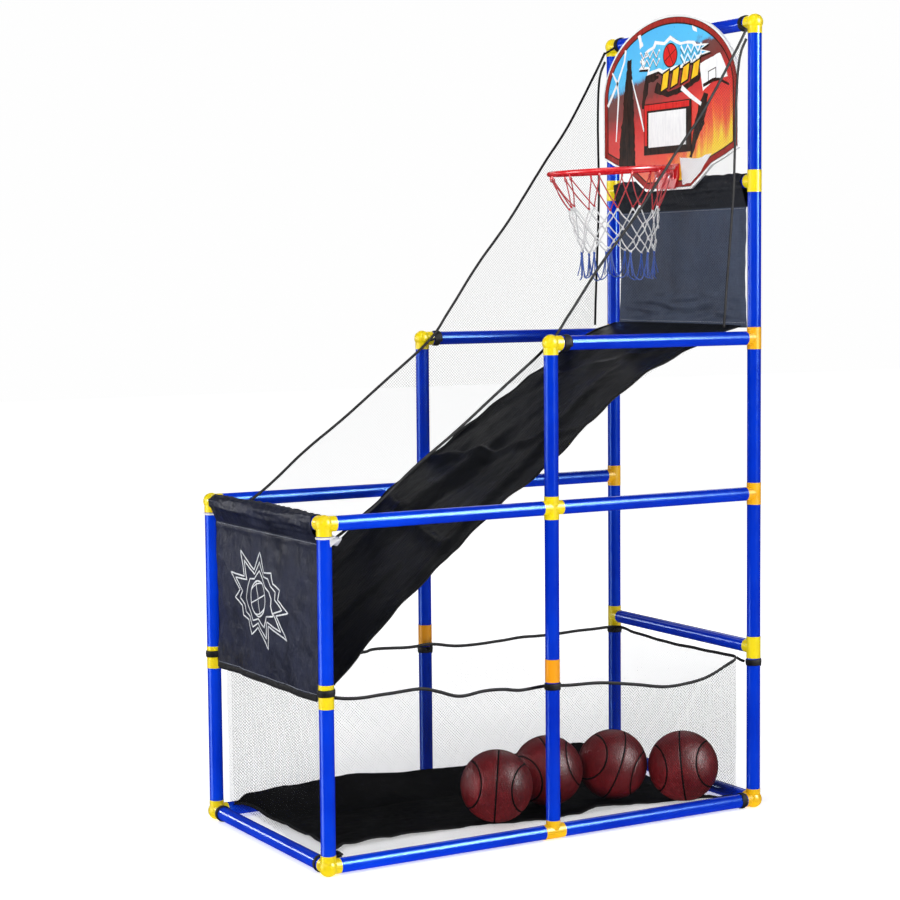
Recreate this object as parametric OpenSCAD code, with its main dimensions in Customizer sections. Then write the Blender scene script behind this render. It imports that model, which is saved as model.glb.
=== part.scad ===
// Home arcade basketball machine: a push-fit tube frame that carries a hoop and board,
// a sloping fabric ball return, side nets and a ball store. Millimetres, +Z up.
// The player stands on the -Y side. Left and right are the player's.
// The origin is on the floor, in the middle of the frame.

/* [Frame] */
// Distance between the left and right posts, centre to centre
frame_w = 450; // [440:5:460]
// Length of one of the two bays along the depth, centre to centre
bay_d = 440; // [435:5:445]
// Height of one level of the posts, centre to centre of its connectors
level_h = 284; // [282:1:286]
// Outer diameter of the tubes
tube_d = 25; // [24:0.5:25]
// Wall thickness of the tubes
tube_wall = 1.3; // [1:0.1:1.6]

/* [Connectors] */
// Length of a connector's arm, from its centre to the tube's end
arm_l = 20; // [18:1:22]
// How far a connector's spigot reaches into the tube
spigot_l = 22; // [15:1:30]
// Radius of the rounded body of a corner connector
corner_r = 15; // [14.5:0.5:15]

/* [Board and hoop] */
// Width of the board
board_w = 432; // [410:2:432]
// Thickness of the board
board_t = 5; // [4:0.5:5]
// Radius of the hoop, to the middle of its rod
hoop_r = 115; // [100:1:115]
// Diameter of the hoop's rod
hoop_rod_d = 9; // [8:0.5:10]
// Droop of the hoop towards the player, in degrees
hoop_droop = 3; // [0:0.5:4]
// Length of the hoop's net
net_l = 190; // [170:5:200]

/* [Balls] */
// Diameter of a ball
ball_d = 131; // [120:1:131]
// Wall thickness of a ball
ball_wall = 2.5; // [2:0.5:4]

/* [Hidden] */
$fn = 48;
eps = 0.01;

blue = "royalblue";
yellow = "gold";
black = [0.12, 0.13, 0.17];
net_white = "whitesmoke";
net_grey = [0.45, 0.45, 0.47];
red = "crimson";
maroon = [0.45, 0.13, 0.15];

tube_r = tube_d / 2;
tube_ir = tube_r - tube_wall;
collar_r = tube_r + 0.5;
branch_step = 0.15;
spigot_r = tube_ir - 0.05;
spigot_bore_r = spigot_r - 2.2;
spigot_tip = 2;
web = 6;
foot_r = corner_r + 1;
axis_h = corner_r;
half_w = frame_w / 2;

// Height of the centre of level k of the frame.
function level(k) = axis_h + k * level_h;
top_z = level(5);
panel_z = level(4);

// ---------- tubes ----------

module tube(length) {
    color(blue) difference() {
        cylinder(r = tube_r, h = length);
        translate([0, 0, -1]) cylinder(r = tube_ir, h = length + 2);
    }
}

// The tubes of one post, from level 0 up.
module post(side, y, levels)
    for (k = [0 : levels - 1])
        translate([side * half_w, y, level(k) + arm_l]) tube(level_h - 2 * arm_l);

// The tubes of the side rail at level k, one for each bay that starts at a y in the list.
module side_rail(side, starts, k)
    for (y = starts)
        translate([side * half_w, y + arm_l, level(k)])
            rotate([-90, 0, 0]) tube(bay_d - 2 * arm_l);

module crossbar(y, k)
    translate([-half_w + arm_l, y, level(k)])
        rotate([0, 90, 0]) tube(frame_w - 2 * arm_l);

// ---------- connectors ----------

// Turns something drawn along +Z to one of the six directions of the frame.
module towards(direction) {
    turn = direction == "up" ? [0, 0, 0]
         : direction == "down" ? [180, 0, 0]
         : direction == "front" ? [90, 0, 0]
         : direction == "back" ? [-90, 0, 0]
         : [0, -90, 0];
    rotate(turn) children();
}

module spigot()
    translate([0, 0, arm_l - 1]) {
        cylinder(r = spigot_r, h = spigot_l + 1 - spigot_tip);
        translate([0, 0, spigot_l + 1 - spigot_tip])
            cylinder(r1 = spigot_r, r2 = spigot_r - 0.6, h = spigot_tip);
    }

// A connector with an arm in each direction of arms. Straight is true if its first two
// arms are opposite, and body_r is the radius of its rounded middle, or 0.
module connector(arms, straight = false, body_r = 0) {
    difference() {
        union() {
            if (straight) towards(arms[0])
                translate([0, 0, -arm_l]) cylinder(r = collar_r, h = 2 * arm_l);
            for (i = [straight ? 2 : 0 : 1 : len(arms) - 1]) towards(arms[i])
                cylinder(r = collar_r - branch_step * i, h = arm_l);
            for (a = arms) towards(a) spigot();
            if (body_r > 0) sphere(r = body_r);
        }
        for (a = arms) towards(a)
            translate([0, 0, web]) cylinder(r = spigot_bore_r, h = arm_l + spigot_l);
    }
}

// A left and right pair of connectors at y and level k. "in" points to the other side.
module connector_pair(y, k, arms, straight = false, body_r = 0)
    color(yellow) for (side = [0, 1]) mirror([side, 0, 0])
        translate([half_w, y, level(k)]) connector(arms, straight, body_r);

// Base corners are cut flat underneath, so that the frame stands on four small faces.
module base_corners(y, along) {
    color(yellow) difference() {
        connector_pair(y, 0, ["up", along, "in"], body_r = foot_r);
        translate([-frame_w, y - frame_w, -frame_w])
            cube([2 * frame_w, 2 * frame_w, frame_w]);
    }
}

// ---------- board ----------

board_back_y = bay_d - tube_r - 11.5;
board_front_y = board_back_y - board_t;
board_bottom_z = 1143;
board_corner_z = 1212;
board_arch_z = 1323;
board_top_z = 1470;
arch_steps = 40;
// The lower right edge, as a share of the half width and of the height up to the corner.
board_lower_edge = [[0.333, 0], [0.47, 0.26], [0.63, 0.59], [0.82, 0.78], [1, 1]];

function board_outline() = let (
        half = board_w / 2,
        rise = board_corner_z - board_bottom_z,
        lower = [for (p = board_lower_edge) [p[0] * half, board_bottom_z + p[1] * rise]],
        arch = [for (i = [0 : arch_steps]) let (a = 180 * i / arch_steps)
            [half * cos(a), board_arch_z + (board_top_z - board_arch_z) * sin(a)]],
        left = [for (i = [len(lower) - 1 : -1 : 0]) [-lower[i][0], lower[i][1]]]
    ) concat(lower, arch, left);

hook_x = 62;
hook_w = 26;
hook_r = 16;
hook_gap = 0.4;
hook_lip = 8;
hook_pad_t = 11;
hook_pad_h = 58;
hook_screw_z = [top_z - 34, top_z - 48];
screw_r = 1.5;
screw_hole_r = 1.6;
screw_head_r = 3.6;
screw_head_h = 2;
screw_bite = 3.5;

hoop_z = 1183;
rod_r = hoop_rod_d / 2;
bracket_w = 74;
bracket_t = 5;
bracket_h = 46;
flange_t = 4;
flange_h = 24;
bracket_y = board_front_y - bracket_t;
flange_y = bracket_y - flange_t;
hoop_reach = hoop_r + 7;
neck_w = 60;
bolt_x = 20;
bolt_z = hoop_z - 14;
bolt_r = 2.5;
bolt_hole_r = 2.6;

// Holes for the screws and bolts, drawn along +Y through y.
module hole_y(x, y, z, r, length)
    translate([x, y, z]) rotate([-90, 0, 0]) cylinder(r = r, h = length);

// The board rests on the sleeve below it by two round pads on its back.
rest_pad_x = 52;
rest_pad_z = 1155;
rest_pad_r = 7;

module backboard() {
    color("tomato") difference() {
        union() {
            translate([0, board_back_y, 0]) rotate([90, 0, 0])
                linear_extrude(board_t) polygon(board_outline());
            for (side = [-1, 1])
                hole_y(side * rest_pad_x, board_back_y - 1, rest_pad_z, rest_pad_r,
                    bay_d - sleeve_r - 0.6 - board_back_y + 1);
        }
        for (side = [-1, 1]) {
            for (z = hook_screw_z)
                hole_y(side * hook_x, board_back_y - screw_bite, z, screw_hole_r, screw_bite + 1);
            hole_y(side * bolt_x, board_front_y - 1, bolt_z, bolt_hole_r, board_t + 2);
        }
    }
}

// A hook that hangs over the top crossbar, with a pad that is screwed to the board.
module board_hook(side) {
    color(red) difference() {
        union() {
            difference() {
                translate([side * hook_x - hook_w / 2, bay_d, top_z]) rotate([0, 90, 0])
                    cylinder(r = hook_r - 0.05, h = hook_w);
                translate([side * hook_x - hook_w, bay_d - 50, top_z - hook_lip - 50])
                    cube([2 * hook_w, 100, 50]);
            }
            translate([side * hook_x - hook_w / 2, board_back_y, top_z - hook_pad_h])
                cube([hook_w, hook_pad_t, hook_pad_h]);
        }
        translate([side * hook_x - hook_w, bay_d, top_z]) rotate([0, 90, 0])
            cylinder(r = tube_r + hook_gap, h = 2 * hook_w);
        for (z = hook_screw_z)
            hole_y(side * hook_x, board_back_y - 1, z, screw_hole_r, hook_pad_t + 2);
    }
}

module hook_screws()
    color("silver") for (side = [-1, 1]) for (z = hook_screw_z) {
        hole_y(side * hook_x, board_back_y - screw_bite + 0.5, z, screw_r,
            hook_pad_t + screw_bite);
        hole_y(side * hook_x, board_back_y + hook_pad_t, z, screw_head_r, screw_head_h);
    }

// ---------- hoop ----------

lug_count = 12;
lug_r = 2;
lug_l = 7;

module rim() {
    color(red) union() {
        translate([0, flange_y, hoop_z]) rotate([hoop_droop, 0, 0]) {
            translate([0, -hoop_reach, 0]) {
                rotate_extrude($fn = 96) translate([hoop_r, 0]) circle(r = rod_r, $fn = 32);
                for (i = [0 : lug_count - 1]) rotate([0, 0, 15 + 30 * i])
                    translate([hoop_r, 0, -rod_r - lug_l + 2])
                        cylinder(r = lug_r, h = lug_l, $fn = 16);
            }
            translate([-neck_w / 2, hoop_r - hoop_reach - 2, -3])
                cube([neck_w, hoop_reach - hoop_r + 3.5, 6]);
        }
        difference() {
            translate([-neck_w / 2, flange_y, hoop_z - flange_h + 3])
                cube([neck_w, flange_t, flange_h]);
            for (side = [-1, 1])
                hole_y(side * bolt_x, flange_y - 1, bolt_z, bolt_hole_r, flange_t + 2);
        }
    }
}

// The bracket's plate is wider at its top, like a shield.
module rim_bracket() {
    color(red) difference() {
        translate([0, board_front_y, hoop_z + 8]) rotate([90, 0, 0])
            linear_extrude(bracket_t) polygon([
                [-bracket_w / 2, 0], [bracket_w / 2, 0],
                [bracket_w / 2, -bracket_h * 0.55], [bracket_w / 3, -bracket_h],
                [-bracket_w / 3, -bracket_h], [-bracket_w / 2, -bracket_h * 0.55]
            ]);
        for (side = [-1, 1])
            hole_y(side * bolt_x, bracket_y - 1, bolt_z, bolt_hole_r, bracket_t + 2);
    }
}

// Bolts through the rim's flange, the bracket and the board, each with a nut behind.
module rim_bolts()
    color("silver") for (side = [-1, 1]) {
        hole_y(side * bolt_x, flange_y - 0.5, bolt_z, bolt_r,
            flange_t + bracket_t + board_t + 1.5);
        hole_y(side * bolt_x, flange_y - 3, bolt_z, 4.5, 3);
        translate([side * bolt_x, board_back_y, bolt_z]) rotate([-90, 0, 0])
            cylinder(r = 4.6, h = 0.9, $fn = 6);
    }

// The net's outer radius and depth below its top edge, from top to bottom.
hoop_y = flange_y - hoop_reach * cos(hoop_droop);
net_top_z = hoop_z - (hoop_reach + hoop_r) * sin(hoop_droop) - rod_r - lug_l;
net_profile = [[109, 0], [89, 0.27], [71, 0.7], [70, 0.85], [73, 1]];
net_t = 1.5;

module hoop_net()
    color(net_white) translate([0, hoop_y, net_top_z])
        rotate_extrude($fn = 96) polygon(concat(
            [for (p = net_profile) [p[0], -p[1] * net_l]],
            [for (i = [len(net_profile) - 1 : -1 : 0])
                [net_profile[i][0] - net_t, -net_profile[i][1] * net_l]]
        ));

// ---------- fabric of the ball return ----------

cloth_t = 2;
net_sheet_t = 1.2;
ramp_half_w = 204;
panel_half_w = 203;
// The side nets hang upright inside the middle posts, and lean outwards above them, so that
// their tops pass outside the board's edges.
side_net_lean = 1.8;
side_net_fold_z = level(3);
side_net_x = 207.8;
function side_net_x_at(z) = side_net_x + max(0, z - side_net_fold_z) * tan(side_net_lean);
sleeve_r = 14.4;
sleeve_gap = 0.4;
sleeve_l = 2 * (half_w - arm_l) - 14;
sleeve_tail = 30;

// The ramp's profile, as points along the depth and height, from the front up to the rear.
ramp_line = [
    [-bay_d + 5, 292], [-285, 426], [-160, 527], [0, 647],
    [130, 740], [240, 808], [335, 854], [bay_d - 5, 884]
];

module sleeve(y, z)
    color(black) translate([-sleeve_l / 2, y, z]) rotate([0, 90, 0]) difference() {
        cylinder(r = sleeve_r, h = sleeve_l);
        translate([0, 0, -1]) cylinder(r = tube_r + sleeve_gap, h = sleeve_l + 2);
    }

module front_panel()
    color(black) translate([-panel_half_w, -bay_d - cloth_t / 2, level(1) - 12])
        cube([2 * panel_half_w, cloth_t, level(2) - level(1) + 12 - sleeve_r - 0.2]);

module back_panel()
    color(black) translate([-panel_half_w, bay_d - cloth_t / 2, level(3) + 19])
        cube([2 * panel_half_w, cloth_t, level_h - 19 - sleeve_r - 0.2]);

// Extrudes a shape drawn in depth and height, from one x to another.
module in_side_view(x0, x1)
    translate([x0, 0, 0]) rotate([90, 0, 90]) linear_extrude(x1 - x0) children();

module ramp()
    color(black) in_side_view(-ramp_half_w, ramp_half_w) polygon(concat(
        ramp_line,
        [for (i = [len(ramp_line) - 1 : -1 : 0]) ramp_line[i] - [0, cloth_t + 0.5]]
    ));

// The upper edge of a side net, from the top of the rear post down to the front post,
// and its rear edge, from the same top down to the ramp.
front_edge = [
    [421, 1422], [393, 1374], [330, 1275], [269, 1197], [190, 1092], [114, 1003],
    [50, 918], [4, 862], [-90, 790], [-180, 722], [-260, 666], [-340, 602], [-423, 549]
];
rear_edge = [
    [421, 1404], [407, 1370], [401, 1290], [400, 1160], [397, 1090], [391, 1000], [385, 904]
];

// The part of a side net from one height to another, as a flat sheet at x = 0.
module side_net_part(low, high)
    in_side_view(-net_sheet_t / 2, net_sheet_t / 2) intersection() {
        polygon(concat(
            front_edge, [[-423, 300]],
            [for (i = [1 : len(ramp_line) - 2]) ramp_line[i]],
            [for (i = [len(rear_edge) - 1 : -1 : 0]) rear_edge[i]]
        ));
        translate([-bay_d, low]) square([2 * bay_d, high - low]);
    }

module side_net(side)
    color(net_grey) translate([side * side_net_x, 0, 0]) {
        side_net_part(0, side_net_fold_z);
        translate([0, 0, side_net_fold_z]) rotate([0, side * side_net_lean, 0])
            translate([0, 0, -side_net_fold_z]) side_net_part(side_net_fold_z - 1, level(5));
    }

// ---------- cords ----------

cord_sides = 8;
binding_r = 2;

function unit(v) = v / norm(v);
// The direction of the route at point i.
function heading(p, i, closed) = let (n = len(p))
    closed ? unit(p[(i + 1) % n] - p[(i + n - 1) % n])
           : unit(p[min(i + 1, n - 1)] - p[max(i - 1, 0)]);
// One ring of a swept tube, square to the route, turned to keep facing hint.
function ring(c, t, r, hint) = let (
        u = unit(hint - (hint * t) * t),
        v = cross(t, u)
    ) [for (k = [0 : cord_sides - 1]) let (a = 360 * k / cord_sides)
        c + r * (cos(a) * u + sin(a) * v)];

// A round cord along a route, with flat ends, or joined up where closed is true.
module cord(p, r, hint, closed = false) {
    n = len(p);
    s = cord_sides;
    points = [for (i = [0 : n - 1]) each ring(p[i], heading(p, i, closed), r, hint)];
    last = closed ? n - 1 : n - 2;
    walls = [for (i = [0 : last]) for (k = [0 : s - 1]) let (
            a = i * s, b = ((i + 1) % n) * s, k1 = (k + 1) % s)
        [a + k, b + k, b + k1, a + k1]];
    caps = closed ? [] : [
        [for (k = [0 : s - 1]) k],
        [for (k = [s - 1 : -1 : 0]) (n - 1) * s + k]
    ];
    polyhedron(points, concat(walls, caps), convexity = 10);
}

module net_binding(side)
    color(black) for (edge = [front_edge, rear_edge])
        cord([for (p = edge) [side * side_net_x_at(p[1]), p[0], p[1]]],
            binding_r, [1, 0, 0]);

// ---------- ball store ----------

store_x = 200;
store_front_y = -420;
store_rear_y = 421;
store_floor_top = 3;
store_bottom_z = 8;
// The top edge of the store's right and left nets, along the depth.
right_store_edge = [
    [-418, 292], [-300, 281], [-165, 269], [-60, 265], [0, 268], [100, 260], [200, 248],
    [300, 238], [370, 252], [418, 278]
];
left_store_edge = [
    [-418, 292], [-280, 286], [-143, 283], [0, 284], [110, 275], [260, 278], [418, 280]
];
rear_store_edge = [[120, 277], [0, 275], [-120, 278]];
store_cord_route = concat(
    [for (p = right_store_edge) [store_x, p[0], p[1]]],
    [for (p = rear_store_edge) [p[0], store_rear_y, p[1]]],
    [for (i = [len(left_store_edge) - 1 : -1 : 0])
        [-store_x, left_store_edge[i][0], left_store_edge[i][1]]],
    [for (x = [-120, 0, 120]) [x, store_front_y - 1, 289]]
);

module storage_floor()
    color(black) translate([-185, -382, 0.5]) cube([370, 798, store_floor_top - 0.5]);

module storage_side_net(side, edge)
    color(net_grey) in_side_view(side * store_x - net_sheet_t / 2,
            side * store_x + net_sheet_t / 2)
        polygon(concat([[-418, store_bottom_z]],
            edge, [[418, store_bottom_z]]));

module storage_front_net()
    color(net_grey) translate([0, store_front_y, 288])
        translate([-store_x + 3, 0, -279]) cube([2 * store_x - 6, net_sheet_t, 279]);

module storage_rear_net()
    color(net_grey) translate([-store_x + 3, store_rear_y, store_bottom_z])
        cube([2 * store_x - 6, net_sheet_t, 276 - store_bottom_z]);

// ---------- ties ----------

tie_gap = 0.15;
tie_t = 1.6;

// A loop of webbing round a tube or collar of radius r, drawn along +Z.
module tie(r, width)
    color(black) difference() {
        translate([0, 0, -width / 2]) cylinder(r = r + tie_t, h = width);
        translate([0, 0, -width]) cylinder(r = r + tie_gap, h = 2 * width);
    }

module upper_ties()
    for (side = [-1, 1]) {
        translate([side * half_w, arm_l + 9, level(3)]) rotate([90, 0, 0]) tie(tube_r, 14);
        translate([side * (half_w - arm_l - 8), bay_d, top_z])
            rotate([0, 90, 0]) tie(tube_r, 13);
        translate([side * half_w, -bay_d, level(2) - arm_l - 8]) tie(tube_r, 14);
    }

module storage_ties()
    for (side = [-1, 1]) {
        translate([side * half_w, -bay_d, level(1) + 6]) tie(collar_r, 12);
        for (y = [0, bay_d])
            translate([side * half_w, y, level(1) - arm_l - 8]) tie(tube_r, 12);
    }

module floor_ties()
    for (side = [-1, 1]) {
        translate([side * (half_w - arm_l - 8), -bay_d, axis_h])
            rotate([0, 90, 0]) tie(tube_r, 9);
        translate([side * half_w, bay_d - arm_l - 8, axis_h])
            rotate([90, 0, 0]) tie(tube_r, 9);
    }

// ---------- balls ----------

ball_r = ball_d / 2;
ball_places = [[78, -26], [25, 117], [46, 248], [127, 352]];

module ball(i)
    color(maroon)
        translate([ball_places[i][0], ball_places[i][1], store_floor_top + 0.4 + ball_r])
            difference() {
                sphere(r = ball_r, $fn = 64);
                sphere(r = ball_r - ball_wall, $fn = 64);
            }

post(-1, -bay_d, 2);  // front_left_post
post(1, -bay_d, 2);  // front_right_post
post(-1, 0, 3);  // middle_left_post
post(1, 0, 3);  // middle_right_post
post(-1, bay_d, 5);  // rear_left_post
post(1, bay_d, 5);  // rear_right_post
side_rail(-1, [-bay_d, 0], 0);  // left_base_rails
side_rail(1, [-bay_d, 0], 0);  // right_base_rails
side_rail(-1, [-bay_d, 0], 2);  // left_side_rails
side_rail(1, [-bay_d, 0], 2);  // right_side_rails
side_rail(-1, [0], 3);  // left_upper_rail
side_rail(1, [0], 3);  // right_upper_rail
crossbar(-bay_d, 0);  // front_base_crossbar
crossbar(-bay_d, 2);  // front_top_crossbar
crossbar(bay_d, 0);  // rear_base_crossbar
crossbar(bay_d, 1);  // rear_low_crossbar
crossbar(bay_d, 4);  // rear_panel_crossbar
crossbar(bay_d, 5);  // rear_top_crossbar
base_corners(-bay_d, "back");  // front_base_corners
base_corners(bay_d, "front");  // rear_base_corners
connector_pair(0, 0, ["front", "back", "up"], straight = true);  // middle_base_tees
connector_pair(-bay_d, 2, ["down", "back", "in"], body_r = corner_r);  // front_top_corners
for (y = [-bay_d, 0]) connector_pair(y, 1, ["up", "down"], straight = true);  // post_couplings
connector_pair(0, 2, ["up", "down", "front", "back"], straight = true);  // middle_crosses
connector_pair(0, 3, ["down", "back"], body_r = corner_r);  // middle_top_elbows
for (k = [2, 3]) connector_pair(bay_d, k, ["up", "down", "front"], straight = true);  // rear_rail_tees
for (k = [1, 4]) connector_pair(bay_d, k, ["up", "down", "in"], straight = true);  // rear_crossbar_tees
connector_pair(bay_d, 5, ["down", "in"], body_r = corner_r);  // rear_top_elbows
backboard();
board_hook(-1);  // left_board_hook
board_hook(1);  // right_board_hook
hook_screws();
rim();
rim_bracket();
rim_bolts();
hoop_net();
front_panel();
sleeve(-bay_d, level(2));  // front_sleeve
ramp();
back_panel();
sleeve(bay_d, panel_z);  // back_sleeve
side_net(-1);  // left_side_net
side_net(1);  // right_side_net
net_binding(-1);  // left_net_binding
net_binding(1);  // right_net_binding
upper_ties();
storage_floor();
storage_front_net();
storage_rear_net();
storage_side_net(-1, left_store_edge);  // storage_left_net
storage_side_net(1, right_store_edge);  // storage_right_net
color(black) cord(store_cord_route, binding_r, [0, 0, 1], closed = true);  // storage_net_cord
storage_ties();
floor_ties();
ball(0);  // ball_1
ball(1);  // ball_2
ball(2);  // ball_3
ball(3);  // ball_4
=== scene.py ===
"""Looks of a home arcade basketball frame: tubes and connectors from the CAD frame, with detailed
fabric, nets, print, hoop net, ties and balls built around them. Metres, +Z up."""

import math

import bpy
import numpy as np
from mathutils import Euler, Matrix, Vector, noise
from mathutils.geometry import tessellate_polygon


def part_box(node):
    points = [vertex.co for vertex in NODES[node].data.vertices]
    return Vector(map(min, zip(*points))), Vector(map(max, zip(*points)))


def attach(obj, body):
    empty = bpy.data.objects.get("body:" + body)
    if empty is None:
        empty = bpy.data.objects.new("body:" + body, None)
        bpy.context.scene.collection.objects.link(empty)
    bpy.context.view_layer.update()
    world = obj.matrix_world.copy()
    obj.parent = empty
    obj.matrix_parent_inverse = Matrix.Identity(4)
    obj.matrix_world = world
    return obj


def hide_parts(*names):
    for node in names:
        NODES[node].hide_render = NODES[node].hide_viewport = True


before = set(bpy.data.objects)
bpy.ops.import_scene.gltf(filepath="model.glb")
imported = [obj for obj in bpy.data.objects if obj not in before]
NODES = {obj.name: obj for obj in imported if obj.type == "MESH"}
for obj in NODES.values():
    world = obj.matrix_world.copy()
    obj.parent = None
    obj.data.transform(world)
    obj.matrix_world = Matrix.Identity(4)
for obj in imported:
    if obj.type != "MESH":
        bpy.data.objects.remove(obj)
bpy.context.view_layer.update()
MM = 0.001


# ---------- places worked out from the frame ----------

def middle(node):
    """Centre of a CAD node's box."""
    low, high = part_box(node)
    return (low + high) / 2


POST_X = middle("front_right_post").x
BAY = middle("rear_right_post").y
TUBE_R = (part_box("front_right_post")[1].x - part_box("front_right_post")[0].x) / 2
BASE_Z = middle("front_base_crossbar").z
LEVEL = (middle("rear_top_crossbar").z - BASE_Z) / 5


def level(k):
    """Height of the frame's connectors at level k."""
    return BASE_Z + k * LEVEL


# ---------- curves ----------

def spline(points, step):
    """Points at about that step along a smooth curve through points."""
    pts = [np.array(p, float) for p in points]
    pts = [2 * pts[0] - pts[1]] + pts + [2 * pts[-1] - pts[-2]]
    out = []
    for a, b, c, d in zip(pts, pts[1:], pts[2:], pts[3:]):
        count = max(1, int(np.linalg.norm(c - b) / step + 0.5))
        for k in range(count):
            t = k / count
            out.append(0.5 * (2 * b + (c - a) * t + (2 * a - 5 * b + 4 * c - d) * t * t
                              + (3 * b - a - 3 * c + d) * t ** 3))
    out.append(pts[-2])
    return np.array(out)


def resample(points, count):
    """That many points, evenly spaced along a line of points."""
    points = np.array(points, float)
    run = np.concatenate([[0], np.cumsum(np.linalg.norm(np.diff(points, axis=0), axis=1))])
    at = np.linspace(0, run[-1], count)
    return np.stack([np.interp(at, run, points[:, k]) for k in range(points.shape[1])], axis=1)


def point_at(points, t):
    """The point at the share t of a line of evenly spaced points."""
    k = t * (len(points) - 1)
    i = min(int(k), len(points) - 2)
    return points[i] + (points[i + 1] - points[i]) * (k - i)


def curve(points, step):
    """A smooth curve as a list of plain points."""
    return [tuple(p) for p in spline(points, step)]


def length_of(points):
    return float(np.linalg.norm(np.diff(np.array(points, float), axis=0), axis=1).sum())


def circle(radius, count):
    return [(radius * math.cos(math.tau * k / count),
             radius * math.sin(math.tau * k / count)) for k in range(count)]


def oval(wide, thick, count=8):
    return [(wide * x, thick * y) for x, y in circle(1, count)]


# ---------- meshes ----------

def add_mesh(name, verts, faces, material, body, stands_for=(), slot=None, smooth=True, uvs=None):
    """A mesh piece that rides on a body. uvs holds one (u, v) for each vertex, in metres."""
    mesh = bpy.data.meshes.new(name)
    mesh.from_pydata(np.asarray(verts, float).tolist(), [], np.asarray(faces).tolist()
                     if isinstance(faces, np.ndarray) else faces)
    if uvs is not None:
        layer = mesh.uv_layers.new(name="cloth")
        corners = np.zeros(len(mesh.loops), np.int32)
        mesh.loops.foreach_get("vertex_index", corners)
        layer.data.foreach_set("uv", np.asarray(uvs, np.float32)[corners].ravel())
    mesh.update()
    mesh.validate()
    if smooth:
        mesh.shade_smooth()
    piece = bpy.data.objects.new(name, mesh)
    bpy.context.scene.collection.objects.link(piece)
    mesh.materials.append(material)
    if stands_for:
        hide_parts(*stands_for)
    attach(piece, body)
    return piece


def sweep(path, section, hint=(0, 0, 1), closed=False):
    """Vertices, faces and uvs of a section drawn along a path. The section's first axis leans to hint."""
    path = np.asarray(path, float)
    count, around = len(path), len(section)
    if closed:
        ahead = np.roll(path, -1, axis=0) - np.roll(path, 1, axis=0)
    else:
        ahead = np.gradient(path, axis=0)
    ahead /= np.linalg.norm(ahead, axis=1)[:, None]
    hints = np.broadcast_to(np.asarray(hint, float), path.shape)
    side = hints - (hints * ahead).sum(1)[:, None] * ahead
    side /= np.maximum(np.linalg.norm(side, axis=1), 1e-9)[:, None]
    up = np.cross(ahead, side)
    section = np.asarray(section, float)
    verts = (path[:, None, :] + section[None, :, 0, None] * side[:, None, :]
             + section[None, :, 1, None] * up[:, None, :]).reshape(-1, 3)
    faces = []
    for i in range(count if closed else count - 1):
        a, b = i * around, ((i + 1) % count) * around
        faces += [[a + k, a + (k + 1) % around, b + (k + 1) % around, b + k]
                  for k in range(around)]
    if not closed:
        faces.append(list(range(around - 1, -1, -1)))
        faces.append([(count - 1) * around + k for k in range(around)])
    run = np.concatenate([[0], np.cumsum(np.linalg.norm(np.diff(path, axis=0), axis=1))])
    girth = np.arange(around) / around
    uvs = np.stack([np.tile(girth, count), np.repeat(run, around)], axis=1)
    return verts, faces, uvs


def add_parts(name, parts, material, body, stands_for=(), slot=None):
    """One mesh piece made of several (verts, faces, uvs)."""
    verts, faces, uvs, base = [], [], [], 0
    for v, f, u in parts:
        verts.append(np.asarray(v, float))
        faces += [[base + k for k in face] for face in f]
        uvs.append(np.asarray(u, float))
        base += len(v)
    add_mesh(name, np.concatenate(verts), faces, material, body, stands_for, slot,
             uvs=np.concatenate(uvs))


def grid(place, across, along):
    """A sheet of quads. place(a, b) gives a point and its (u, v); a and b run from 0 to 1."""
    verts, uvs = [], []
    for i in range(across + 1):
        for j in range(along + 1):
            point, uv = place(i / across, j / along)
            verts.append(point)
            uvs.append(uv)
    row = along + 1
    faces = [[i * row + j, (i + 1) * row + j, (i + 1) * row + j + 1, i * row + j + 1]
             for i in range(across) for j in range(along)]
    return verts, faces, uvs


def thicken(piece, thickness, offset=0.0):
    """Gives a sheet its thickness. An offset of -1 puts all of it below the sheet."""
    solid = piece.modifiers.new("cloth thickness", "SOLIDIFY")
    solid.thickness = thickness
    solid.offset = offset


def ripple(x, y, z, scale, seed=0.0):
    """Smooth noise from -1 to 1."""
    return noise.noise(Vector((x * scale + seed, y * scale - seed, z * scale + 2 * seed)))


# ---------- materials ----------

WAVE_BAND = math.pi / 10                # how wide a wave texture's band is at a scale of 1


def rgb(r, g, b):
    """Linear colour from 0-255 display values."""
    def linear(c):
        c /= 255
        return c / 12.92 if c <= 0.04045 else ((c + 0.055) / 1.055) ** 2.4
    return (linear(r), linear(g), linear(b), 1.0)


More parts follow.
